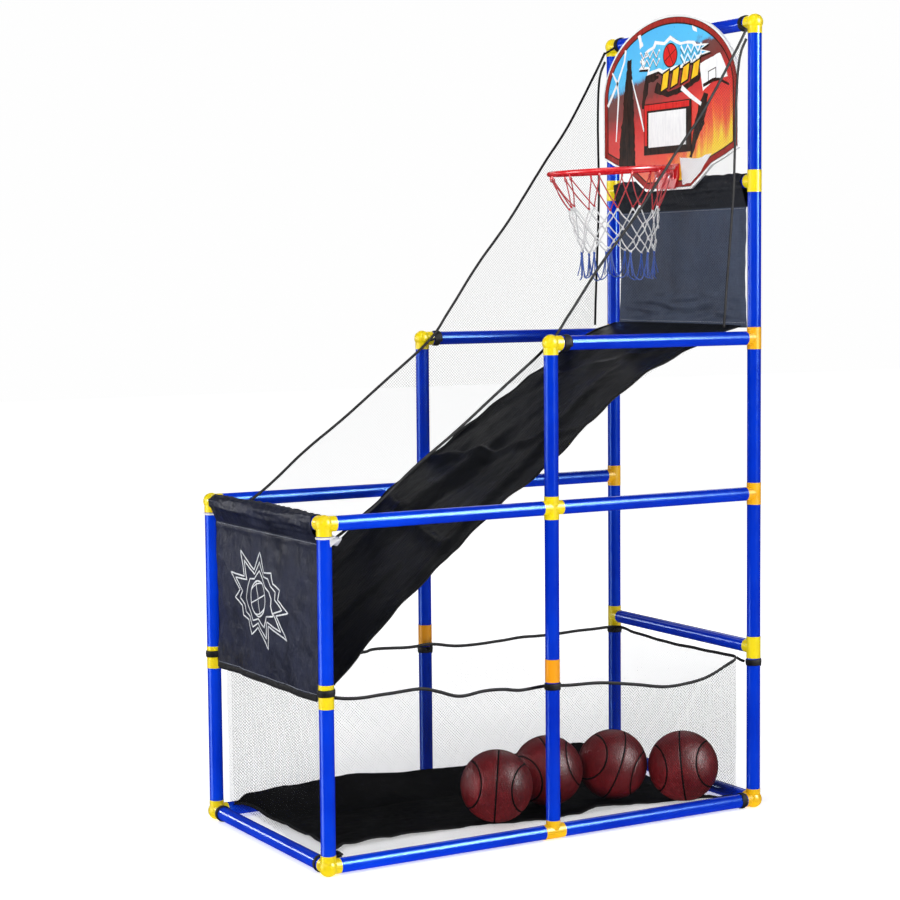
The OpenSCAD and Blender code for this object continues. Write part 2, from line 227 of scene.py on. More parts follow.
class Graph:
    """A node material on one Principled shader."""

    def __init__(self, name, **sockets):
        self.material = bpy.data.materials.new(name)
        self.material.use_nodes = True
        self.tree = self.material.node_tree
        self.shader = self.tree.nodes["Principled BSDF"]
        for key, value in sockets.items():
            self.shader.inputs[key.replace("_", " ")].default_value = value
        self.coords = self.tree.nodes.new("ShaderNodeTexCoord")

    def feed(self, socket, value):
        if isinstance(value, bpy.types.NodeSocket):
            self.tree.links.new(value, socket)
        else:
            socket.default_value = value

    def node(self, kind, inputs=(), **settings):
        """A node with its settings, and with its inputs set or linked by name or number."""
        made = self.tree.nodes.new("ShaderNode" + kind)
        for key, value in settings.items():
            setattr(made, key, value)
        for key, value in dict(inputs).items():
            self.feed(made.inputs[key], value)
        return made

    def place(self, scale=(1, 1, 1), turn=(0, 0, 0), uv=False):
        """Coordinates fixed to the piece, in metres, scaled."""
        if uv:
            source = self.node("UVMap", uv_map="cloth").outputs["UV"]
        else:
            source = self.coords.outputs["Object"]
        return self.node("Mapping", {"Vector": source, "Scale": scale, "Rotation": turn}).outputs[0]

    def noise(self, at, scale, detail=3.0, roughness=0.55, distortion=0.0):
        return self.node("TexNoise", {"Vector": at, "Scale": scale, "Detail": detail,
                                      "Roughness": roughness,
                                      "Distortion": distortion}).outputs["Fac"]

    def wave(self, at, scale, direction):
        return self.node("TexWave", {"Vector": at, "Scale": scale},
                         bands_direction=direction).outputs["Fac"]

    def pebbles(self, at, scale):
        return self.node("TexVoronoi", {"Vector": at, "Scale": scale},
                         feature="SMOOTH_F1").outputs["Distance"]

    def math(self, operation, a, b=0.0, clamp=False):
        return self.node("Math", {0: a, 1: b}, operation=operation, use_clamp=clamp).outputs[0]

    def scaled(self, value, low, high, to_low=0.0, to_high=1.0):
        return self.node("MapRange",
                         enumerate((value, low, high, to_low, to_high))).outputs[0]

    def ramp(self, value, *stops):
        made = self.node("ValToRGB", {"Fac": value})
        elements = made.color_ramp.elements
        while len(elements) < len(stops):
            elements.new(0.5)
        for element, (at, colour) in zip(elements, stops):
            element.position = at
            element.color = colour
        return made.outputs["Color"]

    def mix(self, share, a, b):
        return self.node("Mix", {0: share, 6: a, 7: b}, data_type="RGBA").outputs[2]

    def axis(self, at, name):
        return self.node("SeparateXYZ", {0: at}).outputs[name]

    def colour(self, value):
        self.feed(self.shader.inputs["Base Color"], value)

    def roughness(self, value, smooth, rough):
        """Roughness from smooth to rough over the middle range of a noise."""
        self.feed(self.shader.inputs["Roughness"], self.scaled(value, 0.3, 0.7, smooth, rough))

    def bump(self, height, strength, distance, under=None):
        made = self.node("Bump", {"Strength": strength, "Distance": distance, "Height": height})
        if under is not None:
            self.feed(made.inputs["Normal"], under)
        self.feed(self.shader.inputs["Normal"], made.outputs["Normal"])
        return made.outputs["Normal"]

    def blend(self, a, b, share):
        """Two values as one, with a share of the first."""
        return self.math("ADD", self.math("MULTIPLY", a, share), self.math("MULTIPLY", b, 1 - share))


def tube_material():
    g = Graph("blue tube", Coat_Weight=0.02, Coat_Roughness=0.05, IOR=1.46,
              Specular_IOR_Level=0.36, Specular_Tint=(0.22, 0.55, 1.0, 1.0))
    at = g.place()
    tone = g.noise(at, 7, 3)
    # Painted shade: front and rear are lit and shaded copies of one blue. Tubes behind the front posts
    # take the darker rear blue.
    front = g.ramp(tone, (0.3, rgb(0, 48, 202)), (0.7, rgb(0, 64, 228)))
    rear = g.ramp(tone, (0.3, rgb(0, 38, 182)), (0.7, rgb(0, 52, 202)))
    g.colour(g.mix(g.scaled(g.axis(at, "Y"), -0.3, -0.1), front, rear))
    scuffs = g.noise(g.place((30, 30, 30)), 1.6, 5, 0.65)
    g.feed(g.shader.inputs["Roughness"], g.scaled(scuffs, 0.35, 0.75, 0.17, 0.28))
    g.bump(g.noise(at, 300, 2), 0.03, 0.0003)
    return g.material


def connector_material(name, light, dark, rear=None):
    """Moulded yellow plastic. rear is a painted shade: its colour behind the front posts, more orange,
    where the parts lie in shade.
    """
    g = Graph(name, Coat_Weight=0.08, Coat_Roughness=0.25, IOR=1.48, Subsurface_Weight=0.06,
              Subsurface_Scale=0.004, Specular_IOR_Level=0.3, Specular_Tint=(1.0, 0.95, 0.5, 1.0))
    at = g.place()
    tone = g.noise(at, 22, 4, 0.6)
    colour = g.ramp(tone, (0.3, dark), (0.68, light))
    # Painted shade: behind the front posts the plastic turns to the more orange rear colour.
    if rear:
        colour = g.mix(g.scaled(g.axis(at, "Y"), -0.25, -0.2), colour, rear)
    g.colour(colour)
    g.roughness(g.noise(at, 60, 4), 0.26, 0.44)
    grain = g.bump(g.noise(at, 420, 2), 0.16, 0.0004)
    g.bump(g.noise(at, 45, 2), 0.1, 0.0015, grain)
    return g.material


def mottled(g, colour, rough, grain, stretch=(1, 1, 1)):
    """Finishes a material in one mottled colour. colour is its noise's scale, the dark colour, the
    light colour and the share of the noise at which it is light. rough is its noise's scale and
    detail, then the two roughnesses. grain is the bump's scale, detail, strength and height."""
    at = g.place(stretch)
    scale, dark, light, top = colour
    g.colour(g.ramp(g.noise(at, scale, 4), (0.3, dark), (top, light)))
    g.roughness(g.noise(at, *rough[:2]), *rough[2:])
    g.bump(g.noise(at, *grain[:2]), *grain[2:])
    return g.material


def plastic_material(name, light, dark, rough=(0.25, 0.42)):
    return mottled(Graph(name, Coat_Weight=0.2, Coat_Roughness=0.15), (30, dark, light, 0.7),
                   (90, 4, *rough), (300, 3, 0.15, 0.0004))


def steel_material():
    return mottled(Graph("zinc steel", Metallic=1.0),
                   (120, rgb(150, 152, 156), rgb(205, 207, 212), 0.7), (300, 4, 0.28, 0.5),
                   (700, 3, 0.2, 0.0003), (1, 4, 1))


def woven_material(name, dark, light, thread=0.0007, sheen=0.05, rough=(0.5, 0.75), folds=0.5,
                   specular=0.2, band=None):
    """Plain weave cloth. Its uv map is in metres, so the thread keeps its size. A band is a height
    above which the cloth is nearly black."""
    g = Graph(name, Sheen_Weight=sheen, Sheen_Roughness=0.4, Specular_IOR_Level=specular)
    uv = g.place(uv=True)
    scale = WAVE_BAND / (2 * thread)
    warp = g.wave(uv, scale, "X")
    weft = g.wave(uv, scale, "Y")
    weave = g.math("MULTIPLY", warp, weft)
    slubs = g.noise(g.place((500, 40, 1), uv=True), 1.0, 4, 0.7)
    slubs_across = g.noise(g.place((40, 500, 1), uv=True), 1.0, 4, 0.7)
    uneven = g.blend(slubs, slubs_across, 0.5)
    cloudy = g.noise(g.place(), 14, 5, 0.6)
    tone = g.blend(uneven, cloudy, 0.55)
    colour = g.ramp(tone, (0.36, dark), (0.66, light))
    colour = g.mix(g.scaled(weave, 0, 1, 0.35, 0.0), colour, dark)
    if band:
        over = g.scaled(g.axis(g.place(), "Z"), band - 0.0005, band + 0.0005)
        colour = g.mix(g.math("MULTIPLY", over, 0.88), colour, rgb(6, 7, 10))
    g.colour(colour)
    g.roughness(cloudy, *rough)
    creases = g.bump(g.noise(g.place(), 34, 6, 0.6, 0.6), folds, 0.004)
    g.bump(weave, 0.35, thread * 0.5, creases)
    return g.material


def webbing_material():
    g = Graph("black webbing", Sheen_Weight=0.04, Sheen_Roughness=0.4, Specular_IOR_Level=0.15)
    at = g.place()
    g.colour(g.ramp(g.noise(at, 60, 4), (0.3, rgb(6, 6, 8)), (0.72, rgb(26, 26, 30))))
    g.roughness(g.noise(at, 120, 3), 0.55, 0.8)
    ribs = g.wave(g.place((1, 1, 1), (0.6, 0.5, 0.4)), 240, "DIAGONAL")
    g.bump(ribs, 0.35, 0.0004)
    return g.material


def thread_material(name, body):
    """Translucent nylon thread. body is how much of the light each of its walls stops."""
    return mottled(Graph(name, Specular_IOR_Level=0.08, Alpha=body),
                   (18, rgb(22, 23, 26), rgb(40, 41, 45), 0.66), (200, 3, 0.4, 0.7),
                   (1500, 2, 0.2, 0.0002))


def cord_material(name, light, dark):
    """Twisted cord. The uv map's second axis runs along it, in metres."""
    g = Graph(name, Sheen_Weight=0.3, Sheen_Roughness=0.5, Specular_IOR_Level=0.3)
    twist = g.wave(g.place((1.6, 260, 1), uv=True), 1.0, "DIAGONAL")
    fibres = g.noise(g.place(), 300, 4)
    tone = g.blend(twist, fibres, 0.6)
    g.colour(g.ramp(tone, (0.15, dark), (0.6, light)))
    g.roughness(fibres, 0.6, 0.85)
    g.bump(twist, 0.5, 0.0006)
    return g.material


def ball_material():
    g = Graph("pebbled rubber", Coat_Weight=0.03, Coat_Roughness=0.3, Specular_IOR_Level=0.2)
    at = g.place()
    cells = g.pebbles(at, 620)
    dome = g.scaled(cells, 0.0, 0.75, 1.0, 0.0)
    cloudy = g.noise(at, 16, 5, 0.6)
    worn = g.noise(at, 70, 5, 0.7)
    tone = g.blend(cloudy, worn, 0.6)
    skin = g.ramp(tone, (0.33, rgb(98, 9, 15)), (0.55, rgb(134, 19, 27)), (0.72, rgb(174, 46, 52)))
    specks = g.noise(at, 260, 3, 0.7)
    skin = g.mix(g.scaled(specks, 0.6, 0.72, 0.0, 0.5), skin, rgb(190, 112, 112))
    # Darker between the pebbles: painted shade in the gaps.
    g.colour(g.mix(g.scaled(dome, 0.15, 0.6, 0.6, 0.0), skin, rgb(46, 11, 15)))
    g.roughness(worn, 0.32, 0.48)
    g.bump(dome, 0.7, 0.0007)
    return g.material


def paint_material(name, light, dark):
    """Flat printed ink with dry-brush streaks."""
    g = Graph(name, Specular_IOR_Level=0.05)
    brushed = g.noise(g.place((30, 1, 6)), 6, 5, 0.65)
    g.colour(g.ramp(brushed, (0.36, dark), (0.62, light)))
    g.roughness(g.noise(g.place(), 80, 3), 0.28, 0.45)
    g.bump(g.noise(g.place(), 500, 2), 0.06, 0.0003)
    return g.material


def print_material(low, high):
    """The board's ground: sky over brown and red, with flames rising from the lower right."""
    g = Graph("board print", Coat_Weight=0.05, Coat_Roughness=0.18, Specular_IOR_Level=0.15)
    at = g.place()
    x, z = g.axis(at, "X"), g.axis(at, "Z")
    tall = high.z - low.z
    torn = g.noise(g.place((1, 0, 1)), 22, 6, 0.7, 0.5)
    licks = g.noise(g.place((42, 0, 9)), 1.0, 5, 0.6, 0.8)
    warp = g.math("MULTIPLY", g.math("SUBTRACT", torn, 0.5), 0.07)
    lean = g.math("MULTIPLY", x, 0.29)
    height = g.math("ADD", g.math("SUBTRACT", z, lean), warp)
    share = g.scaled(height, low.z, high.z)
    ground = g.ramp(
        share, (0.0, rgb(238, 120, 36)), (0.20, rgb(232, 66, 30)), (0.34, rgb(222, 38, 26)),
        (0.50, rgb(196, 24, 20)), (0.60, rgb(120, 36, 30)), (0.71, rgb(104, 58, 54)),
        (0.735, rgb(84, 168, 220)), (0.76, rgb(84, 194, 246)), (1.0, rgb(76, 184, 242)))
    reach = g.math("ADD", g.math("MULTIPLY", g.math("SUBTRACT", x, 0.08), 5.0),
                   g.math("MULTIPLY", g.math("SUBTRACT", low.z + 0.36 * tall, z), 10.0))
    heat = g.math("ADD", reach, g.math("MULTIPLY", g.math("SUBTRACT", licks, 0.5), 1.5))
    flames = g.ramp(heat, (0.0, rgb(224, 52, 28)), (0.28, rgb(234, 84, 26)),
                    (0.52, rgb(242, 142, 30)), (0.76, rgb(252, 212, 30)))
    body = g.scaled(z, low.z + 0.56 * tall, low.z + 0.50 * tall)
    right = g.scaled(g.math("ADD", x, g.scaled(z, low.z + 0.24 * tall, low.z + 0.2 * tall, 0, 0.09)),
                     0.07, 0.10)
    where = g.math("MULTIPLY", body, right, clamp=True)
    inked = g.mix(where, ground, flames)
    specks = g.noise(g.place((1, 0, 1)), 160, 3, 0.7)
    g.colour(g.mix(g.scaled(specks, 0.62, 0.72, 0.0, 0.5), inked, rgb(60, 30, 28)))
    g.roughness(torn, 0.26, 0.42)
    g.bump(g.noise(at, 400, 2), 0.05, 0.0003)
    return g.material


def floor_material():
    """Pale paper, which lights itself a little so that it stays pale to its far edge, and less
    inside the frame's footprint."""
    g = Graph("pale floor", Specular_IOR_Level=0.1)
    at = g.place()
    away = g.node("VectorMath", {0: at}, operation="LENGTH")
    shade = g.math("MAXIMUM", *(g.scaled(g.math("ABSOLUTE", g.axis(at, name)), low, high)
                                for name, low, high in (("X", 0.13, 0.24), ("Y", 0.36, 0.46))))
    g.feed(g.shader.inputs["Emission Strength"],
           g.math("MULTIPLY", g.scaled(away.outputs["Value"], 0.7, 3.0, 0.60, 0.80),
                  g.scaled(shade, 0.0, 1.0, 0.80, 1.0)))
    g.colour(g.ramp(g.noise(at, 3, 3), (0.3, rgb(236, 237, 239)), (0.7, rgb(242, 242, 243))))
    g.shader.inputs["Emission Color"].default_value = (1, 1, 1, 1)
    g.roughness(g.noise(at, 6, 3), 0.6, 0.75)
    return g.material


BLUE = tube_material()
YELLOW = connector_material("yellow connector", rgb(242, 219, 8), rgb(232, 202, 4))
# Painted shade: the golden and amber connectors are shaded copies of the yellow plastic, darker and more
# orange, for connectors that lie in shade.
SHADED_GOLD = connector_material("shaded golden connector", rgb(246, 198, 14), rgb(236, 178, 8))
SHADED_AMBER = connector_material("shaded amber connector", rgb(246, 186, 12), rgb(238, 166, 8))
# The coupling's more orange rear colour is painted shade on the same yellow plastic.
COUPLING = connector_material("coupling", rgb(242, 219, 8), rgb(232, 202, 4), rgb(244, 158, 8))
RED = plastic_material("red plastic", rgb(226, 24, 34), rgb(196, 12, 24))
RED_PAINT = plastic_material("red powder coat", rgb(232, 26, 36), rgb(204, 14, 26), (0.2, 0.36))
STEEL = steel_material()
PANEL = woven_material("panel cloth", rgb(11, 14, 28), rgb(40, 45, 70), sheen=0.0, rough=(0.38, 0.56),
                       specular=0.09)
RAMP = woven_material("ramp cloth", rgb(1, 2, 4), rgb(10, 12, 21), sheen=0.0, rough=(0.34, 0.48),
                      specular=0.08)
BACK = woven_material("back cloth", rgb(48, 56, 76), rgb(82, 94, 116), sheen=0.02, specular=0.14,
                      band=middle("rear_panel_crossbar").z - 0.046)
FLOOR_CLOTH = woven_material("store floor cloth", rgb(1, 1, 2), rgb(6, 8, 11), sheen=0.0,
                             specular=0.02)
HEM = woven_material("hem tape", rgb(4, 4, 6), rgb(15, 16, 20), sheen=0.01, folds=0.2, specular=0.12)
WEBBING = webbing_material()
THREAD = thread_material("mesh thread", 0.23)
STORE_THREAD = thread_material("store mesh thread", 0.37)
STITCH = cord_material("stitching", rgb(150, 155, 168), rgb(84, 90, 104))
NET_CORNER = woven_material("net corner", rgb(216, 216, 220), rgb(246, 246, 248), 0.0016)
RED_CORD = cord_material("red cord", rgb(206, 34, 44), rgb(130, 14, 24))
WHITE_CORD = cord_material("white cord", rgb(240, 240, 240), rgb(170, 172, 178))
BLUE_CORD = cord_material("blue cord", rgb(44, 92, 190), rgb(18, 44, 120))
BALL = ball_material()
SEAM = woven_material("ball seam", rgb(5, 3, 3), rgb(14, 8, 9), sheen=0.0, folds=0.1, specular=0.05)
BOARD_WHITE = plastic_material("board white", rgb(244, 244, 243), rgb(226, 226, 226))
MAROON_INK = paint_material("maroon ink", rgb(172, 48, 40), rgb(134, 34, 30))
DARK_INK = paint_material("dark ink", rgb(52, 28, 20), rgb(20, 12, 10))
RED_INK = paint_material("red ink", rgb(228, 40, 34), rgb(200, 26, 24))
WHITE_INK = paint_material("white ink", rgb(250, 250, 250), rgb(238, 238, 240))
SKY_INK = paint_material("sky ink", rgb(112, 208, 244), rgb(70, 180, 232))
YELLOW_INK = paint_material("yellow ink", rgb(252, 212, 34), rgb(243, 176, 26))
EMBLEM_INK = paint_material("emblem ink", rgb(236, 238, 240), rgb(200, 204, 210))


# ---------- the frame's own parts ----------

def paint_node(node, material, edge=0.0):
    """Gives a CAD node its material, and a fine rounded edge where it is moulded."""
    piece = NODES[node]
    piece.data.materials.clear()
    piece.data.materials.append(material)
    if edge:
        bevel = piece.modifiers.new("moulded edge", "BEVEL")
        bevel.width = edge
        bevel.segments = 2
        bevel.limit_method = "ANGLE"
        bevel.angle_limit = math.radians(40)


for name in NODES:
    if name.endswith(("_post", "_rail", "_rails", "_crossbar")):
        paint_node(name, BLUE)
for material, edge, names in (
        (YELLOW, 0.7, ("front_base_corners", "front_top_corners", "middle_top_elbows",
                       "middle_crosses", "rear_crossbar_tees", "rear_top_elbows")),
        # Painted shade: the low rear connectors and the rear rail tees take shaded copies of the yellow.
        (SHADED_GOLD, 0.7, ("rear_base_corners", "middle_base_tees")),
        (SHADED_AMBER, 0.7, ("rear_rail_tees",)),
        (COUPLING, 0.7, ("post_couplings",)),
        (RED, 0.6, ("left_board_hook", "right_board_hook", "rim_bracket")),
        (RED_PAINT, 0.5, ("rim",)),
        (STEEL, 0.3, ("hook_screws", "rim_bolts")),
        (BOARD_WHITE, 0.6, ("backboard",))):
    for name in names:
        paint_node(name, material, edge * MM)


# ---------- sewn panels ----------

PANEL_HALF = (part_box("front_panel")[1].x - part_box("front_panel")[0].x) / 2
SLEEVE_R = TUBE_R + 0.9 * MM
CLOTH = 0.9 * MM


def sleeve_outline(drop):
    """Outline, as (y, z) from the tube's middle, of a loose sleeve round a crossbar: from its seam,
    up behind the tube, over it and down in front to the seam."""
    seam = np.array([0.001, -drop])
    lean = math.asin(SLEEVE_R / drop)
    start, stop = math.pi + lean, -lean
    points = [seam - [0.0015, 0]]
    for k in range(19):
        a = start + (stop - start) * k / 18
        points.append(SLEEVE_R * np.array([math.cos(a), math.sin(a)]))
    points.append(seam)
    return [(-p[0], p[1]) for p in points]


def hung_panel(name, bar, seam_z, low_z, material, stands_for, seed, bulge, wrinkle=0.0):
    """A cloth panel that hangs from a crossbar by its sewn sleeve, as one sheet. Returns its place
    function, and the share of its length at which the seam lies."""
    outline = [(bar.y + p[0], bar.z + p[1]) for p in sleeve_outline(bar.z - seam_z)]
    sleeve_length = length_of(outline)
    outline += [(bar.y - 0.001, seam_z + (low_z - seam_z) * k / 30) for k in range(1, 31)]
    outline = resample(outline, 121)
    total = length_of(outline)
    seam = sleeve_length / total

    def place(a, b):
        y, z = point_at(outline, b)
        side = 2 * a - 1
        x = side * PANEL_HALF
        if b < seam:
            slack = min(1.0, (seam - b) * total / 0.012, b * total / 0.012)
            pucker = 0.0006 * math.sin(x * 260 + 4 * ripple(x, 0, b * 3, 20, seed))
            pucker += 0.0052 * max(0.0, ripple(x * 0.6, b * 3, 0, 18, seed))
            pucker += 0.0014 * ripple(x, b * 4, 0, 44, seed)
            away = Vector((y - bar.y, z - bar.z)).normalized()
            y += away.x * max(0.0, pucker) * slack
            z += away.y * max(0.0, pucker) * slack
            return (x, y, z), (x, b * total)
        hang = (b - seam) / (1 - seam)
        belly = math.sin(math.pi * hang) * bulge * (1 - side * side)
        gathers = 0.0024 * math.sin(x * 95 + 3 * ripple(x, z, 0, 12, seed)) * math.exp(-hang * 5)
        gathers += 0.0035 * math.exp(-((hang - 0.02) / 0.02) ** 2)
        tension = 0.0034 * ripple(x * 1.2, 0, z * 0.5, 16, seed + 3)
        fine = 0.0014 * ripple(x, 0, z, 48, seed + 7)
        low = math.exp(-((hang - 0.86) / 0.13) ** 2)
        fine += wrinkle * low * (1 - side ** 4) * ripple(x * 0.6, 0, z * 2.6, 30, seed + 11)
        y -= belly + (gathers + tension + fine) * min(1, hang * 8 + 0.1)
        x -= 0.004 * side ** 3 * math.sin(math.pi * hang)
        z += 0.004 * side * side * hang * ripple(x, 0, 0, 9, seed)
        return (x, y, z), (x, b * total)

    verts, faces, uvs = grid(place, 110, 150)
    piece = add_mesh(name, verts, faces, material, "frame", stands_for, "black_fabric", uvs=uvs)
    thicken(piece, CLOTH)
    return place, seam


def stitch_row(name, point, count, lift):
    """A row of raised stitches along a line. point(t) gives the line's points for t from 0 to 1."""
    parts = []
    for k in range(count):
        p = Vector(point((k + 0.2) / count))
        q = Vector(point((k + 0.82) / count))
        path = [p + lift * 0.2, (p + q) / 2 + lift, q + lift * 0.2]
        parts.append(sweep(np.array(path), circle(0.0006, 5), hint=(0.3, 0.9, 0.4)))
    add_parts(name, parts, STITCH, "frame")


FRONT_BAR = middle("front_top_crossbar")
BACK_BAR = middle("rear_panel_crossbar")
SEAM_DROP = 33 * MM
BACK_SEAM_DROP = 46 * MM
front_place, front_seam = hung_panel(
    "front_panel_cloth", FRONT_BAR, FRONT_BAR.z - SEAM_DROP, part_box("front_panel")[0].z,
    PANEL, ("front_panel", "front_sleeve"), 1.7, 0.005)
back_place, back_seam = hung_panel(
    "back_panel_cloth", BACK_BAR, BACK_BAR.z - BACK_SEAM_DROP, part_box("back_panel")[0].z,
    BACK, ("back_panel", "back_sleeve"), 5.3, 0.004, wrinkle=0.009)
for side_name, place, seam in (("front", front_place, front_seam), ("back", back_place, back_seam)):
    for row, b in (("seam", seam + 0.006), ("hem", 0.975)):
        stitch_row(f"{side_name}_{row}_stitches",
                   lambda t, place=place, b=b: place(0.01 + 0.98 * t, b)[0], 86,
                   Vector((0, -0.0009, 0)))


# ---------- emblem on the front panel ----------

def ribbon_on(place_at, points, width, closed=True):
    """A flat ribbon of that width drawn along (a, b) points in metres and laid by place_at."""
    points = np.array(points, float)
    if closed:
        ahead = np.roll(points, -1, 0) - np.roll(points, 1, 0)
    else:
        ahead = np.gradient(points, axis=0)
    ahead /= np.maximum(np.linalg.norm(ahead, axis=1), 1e-9)[:, None]
    across = np.stack([-ahead[:, 1], ahead[:, 0]], 1) * width / 2
    flat = np.concatenate([points + across, points - across])
    count = len(points)
    verts = [place_at(a, b) for a, b in flat]
    faces = [[i, (i + 1) % count, count + (i + 1) % count, count + i]
             for i in range(count if closed else count - 1)]
    return verts, faces, flat


def dense(points, step):
    """Points at about that step along a closed outline's straight lines."""
    out = []
    for p, q in zip(points, points[1:] + points[:1]):
        count = max(1, int(math.dist(p, q) / step))
        out += [(p[0] + (q[0] - p[0]) * k / count, p[1] + (q[1] - p[1]) * k / count)
                for k in range(count)]
    return out


def burst(centre, wide, tall, spikes, inner, seed):
    """A star outline whose spikes differ in length."""
    points = []
    for k in range(2 * spikes):
        a = math.tau * k / (2 * spikes) + math.pi / 2
        reach = 0.86 + 0.2 * math.sin(3.7 * k + seed) if k % 2 == 0 else inner
        points.append((centre[0] + wide * reach * math.cos(a),
                       centre[1] + tall * reach * math.sin(a)))
    return points


def on_front_panel(x, z):
    """A point just in front of the front panel's cloth."""
    a = (x / PANEL_HALF + 1) / 2
    top, low = FRONT_BAR.z - SEAM_DROP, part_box("front_panel")[0].z
    b = front_seam + (1 - front_seam) * (top - z) / (top - low)
    point = Vector(front_place(a, b)[0])
    point.y -= CLOTH / 2 + 0.00035
    return point


def front_emblem():
    """A generic burst with a plain ball in outline."""
    centre = (-0.018, 0.431)
    lines = [dense(burst(centre, 0.134, 0.086, 11, 0.58, 0.4), 0.004),
             dense(burst(centre, 0.108, 0.068, 11, 0.62, 0.4), 0.004),
             dense(burst(centre, 0.072, 0.047, 9, 0.74, 2.1), 0.004)]
    ball = 0.031
    lines.append([(centre[0] + x, centre[1] + y) for x, y in circle(ball, 48)])
    parts = [ribbon_on(on_front_panel, line, 0.0026) for line in lines]
    for turn in (0.35, 0.35 + math.pi / 2):
        line = [(centre[0] + t * math.cos(turn), centre[1] + t * math.sin(turn))
                for t in np.linspace(-ball, ball, 16)]
        parts.append(ribbon_on(on_front_panel, line, 0.0022, closed=False))
    for bend in (-1, 1):
        line = [(centre[0] + t * math.cos(0.35) - bend * (0.026 - 9 * t * t) * math.sin(0.35),
                 centre[1] + t * math.sin(0.35) + bend * (0.026 - 9 * t * t) * math.cos(0.35))
                for t in np.linspace(-0.024, 0.024, 20)]
        parts.append(ribbon_on(on_front_panel, line, 0.0022, closed=False))
    add_parts("front_emblem", parts, EMBLEM_INK, "frame")


front_emblem()


# ---------- ramp ----------

RAMP_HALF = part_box("ramp")[1].x
# The ramp's near and far edges, as (y, z) from the bottom up.
NEAR_LINE = [(-0.434, 0.291), (-0.363, 0.361), (-0.303, 0.420), (-0.192, 0.511), (-0.088, 0.594),
             (-0.012, 0.641), (0.052, 0.690), (0.115, 0.741), (0.207, 0.803), (0.314, 0.850),
             (0.428, 0.892)]
FAR_LINE = [(-0.434, 0.291), (-0.360, 0.358), (-0.300, 0.411), (-0.198, 0.497), (-0.140, 0.547),
            (-0.085, 0.589), (-0.024, 0.630), (0.076, 0.698), (0.166, 0.754), (0.258, 0.810),
            (0.340, 0.861), (0.428, 0.894)]
near_curve = resample(spline(NEAR_LINE, 0.01), 161)
far_curve = resample(spline(FAR_LINE, 0.01), 161)
RAMP_LENGTH = length_of(near_curve)
# Long soft folds that run down the ramp: place across, drift, height in metres, width, start, end.
RAMP_FOLDS = [(0.90, -0.22, 0.013, 0.050, -0.05, 0.62), (0.70, -0.45, 0.011, 0.060, 0.30, 1.05),
              (0.42, 0.10, -0.010, 0.070, 0.10, 0.80), (0.24, 0.30, 0.009, 0.055, 0.05, 0.70),
              (0.98, -0.10, 0.009, 0.040, 0.55, 1.10), (0.14, 0.55, -0.008, 0.060, 0.40, 1.05),
              (0.60, 0.20, 0.008, 0.045, -0.05, 0.40), (0.55, 2.60, 0.010, 0.090, 0.44, 0.74),
              (0.50, -2.40, 0.008, 0.090, 0.24, 0.50), (0.62, 2.20, 0.008, 0.080, 0.72, 1.00)]


def ramp_place(a, b):
    """The ramp cloth: sagging in the middle, with folds, creases and scalloped edges."""
    near, far = point_at(near_curve, b), point_at(far_curve, b)
    y, z = far + (near - far) * a
    side = 2 * a - 1
    x = side * RAMP_HALF
    hold = math.sin(math.pi * min(1, max(0, b))) ** 0.6
    sag = 0.012 * (1 - side * side) * hold
    folds = 0.0
    for centre, drift, height, width, start, stop in RAMP_FOLDS:
        run = (b - start) / (stop - start)
        if 0 < run < 1:
            off = a - centre - drift * (run - 0.5) - 0.03 * ripple(b, centre, 0, 5, 2.0)
            folds += height * math.exp(-(off / width) ** 2) * math.sin(math.pi * run)
    crease = 0.0035 * ripple(x * 1.2, y * 0.5, 0, 17, 4.2) + 0.0016 * ripple(x, y, 0, 60, 8.8)
    scallop = 0.0018 * math.sin(b * 74) * abs(side) ** 6
    x -= 0.0030 * side * abs(math.sin(b * 37)) * abs(side) ** 3
    z += -sag + (crease + folds) * hold * (1 - 0.75 * side ** 4) + scallop
    return (x, y, z - 0.0012), (x, b * RAMP_LENGTH)


verts, faces, uvs = grid(ramp_place, 110, 220)
ramp_piece = add_mesh("ramp_cloth", verts, faces, RAMP, "frame", ["ramp"], "black_fabric", uvs=uvs)
thicken(ramp_piece, CLOTH, -1)


def hem(name, points, wide, thick, hint):
    """Folded tape along a cloth's edge."""
    add_parts(name, [sweep(points, oval(wide, thick, 10), hint)], HEM, "frame")


for side_name, a in (("left", 0.012), ("right", 0.988)):
    hem(f"ramp_{side_name}_hem", [ramp_place(a, b)[0] for b in np.linspace(0.004, 0.996, 200)],
        0.005, 0.0013, (1, 0, 0))
hem("ramp_front_hem", [ramp_place(a, 0.006)[0] for a in np.linspace(0.01, 0.99, 90)],
    0.004, 0.0014, (0, 0.7, 0.7))
hem("front_panel_hem", [Vector(front_place(a, 0.993)[0]) for a in np.linspace(0.01, 0.99, 90)],
    0.006, 0.0012, (0, 0, 1))


# ---------- netting ----------

NET_HALF = 2.8 * MM                     # half a diamond's diagonal
THREAD_R = 0.28 * MM


def inside(outline, a, b):
    """Which of the points (a, b) lie in an outline."""
    hit = np.zeros(len(a), bool)
    for (x0, y0), (x1, y1) in zip(outline, outline[1:] + outline[:1]):
        if y0 != y1:
            hit ^= ((y0 > b) != (y1 > b)) & (a < (x1 - x0) * (b - y0) / (y1 - y0) + x0)
    return hit


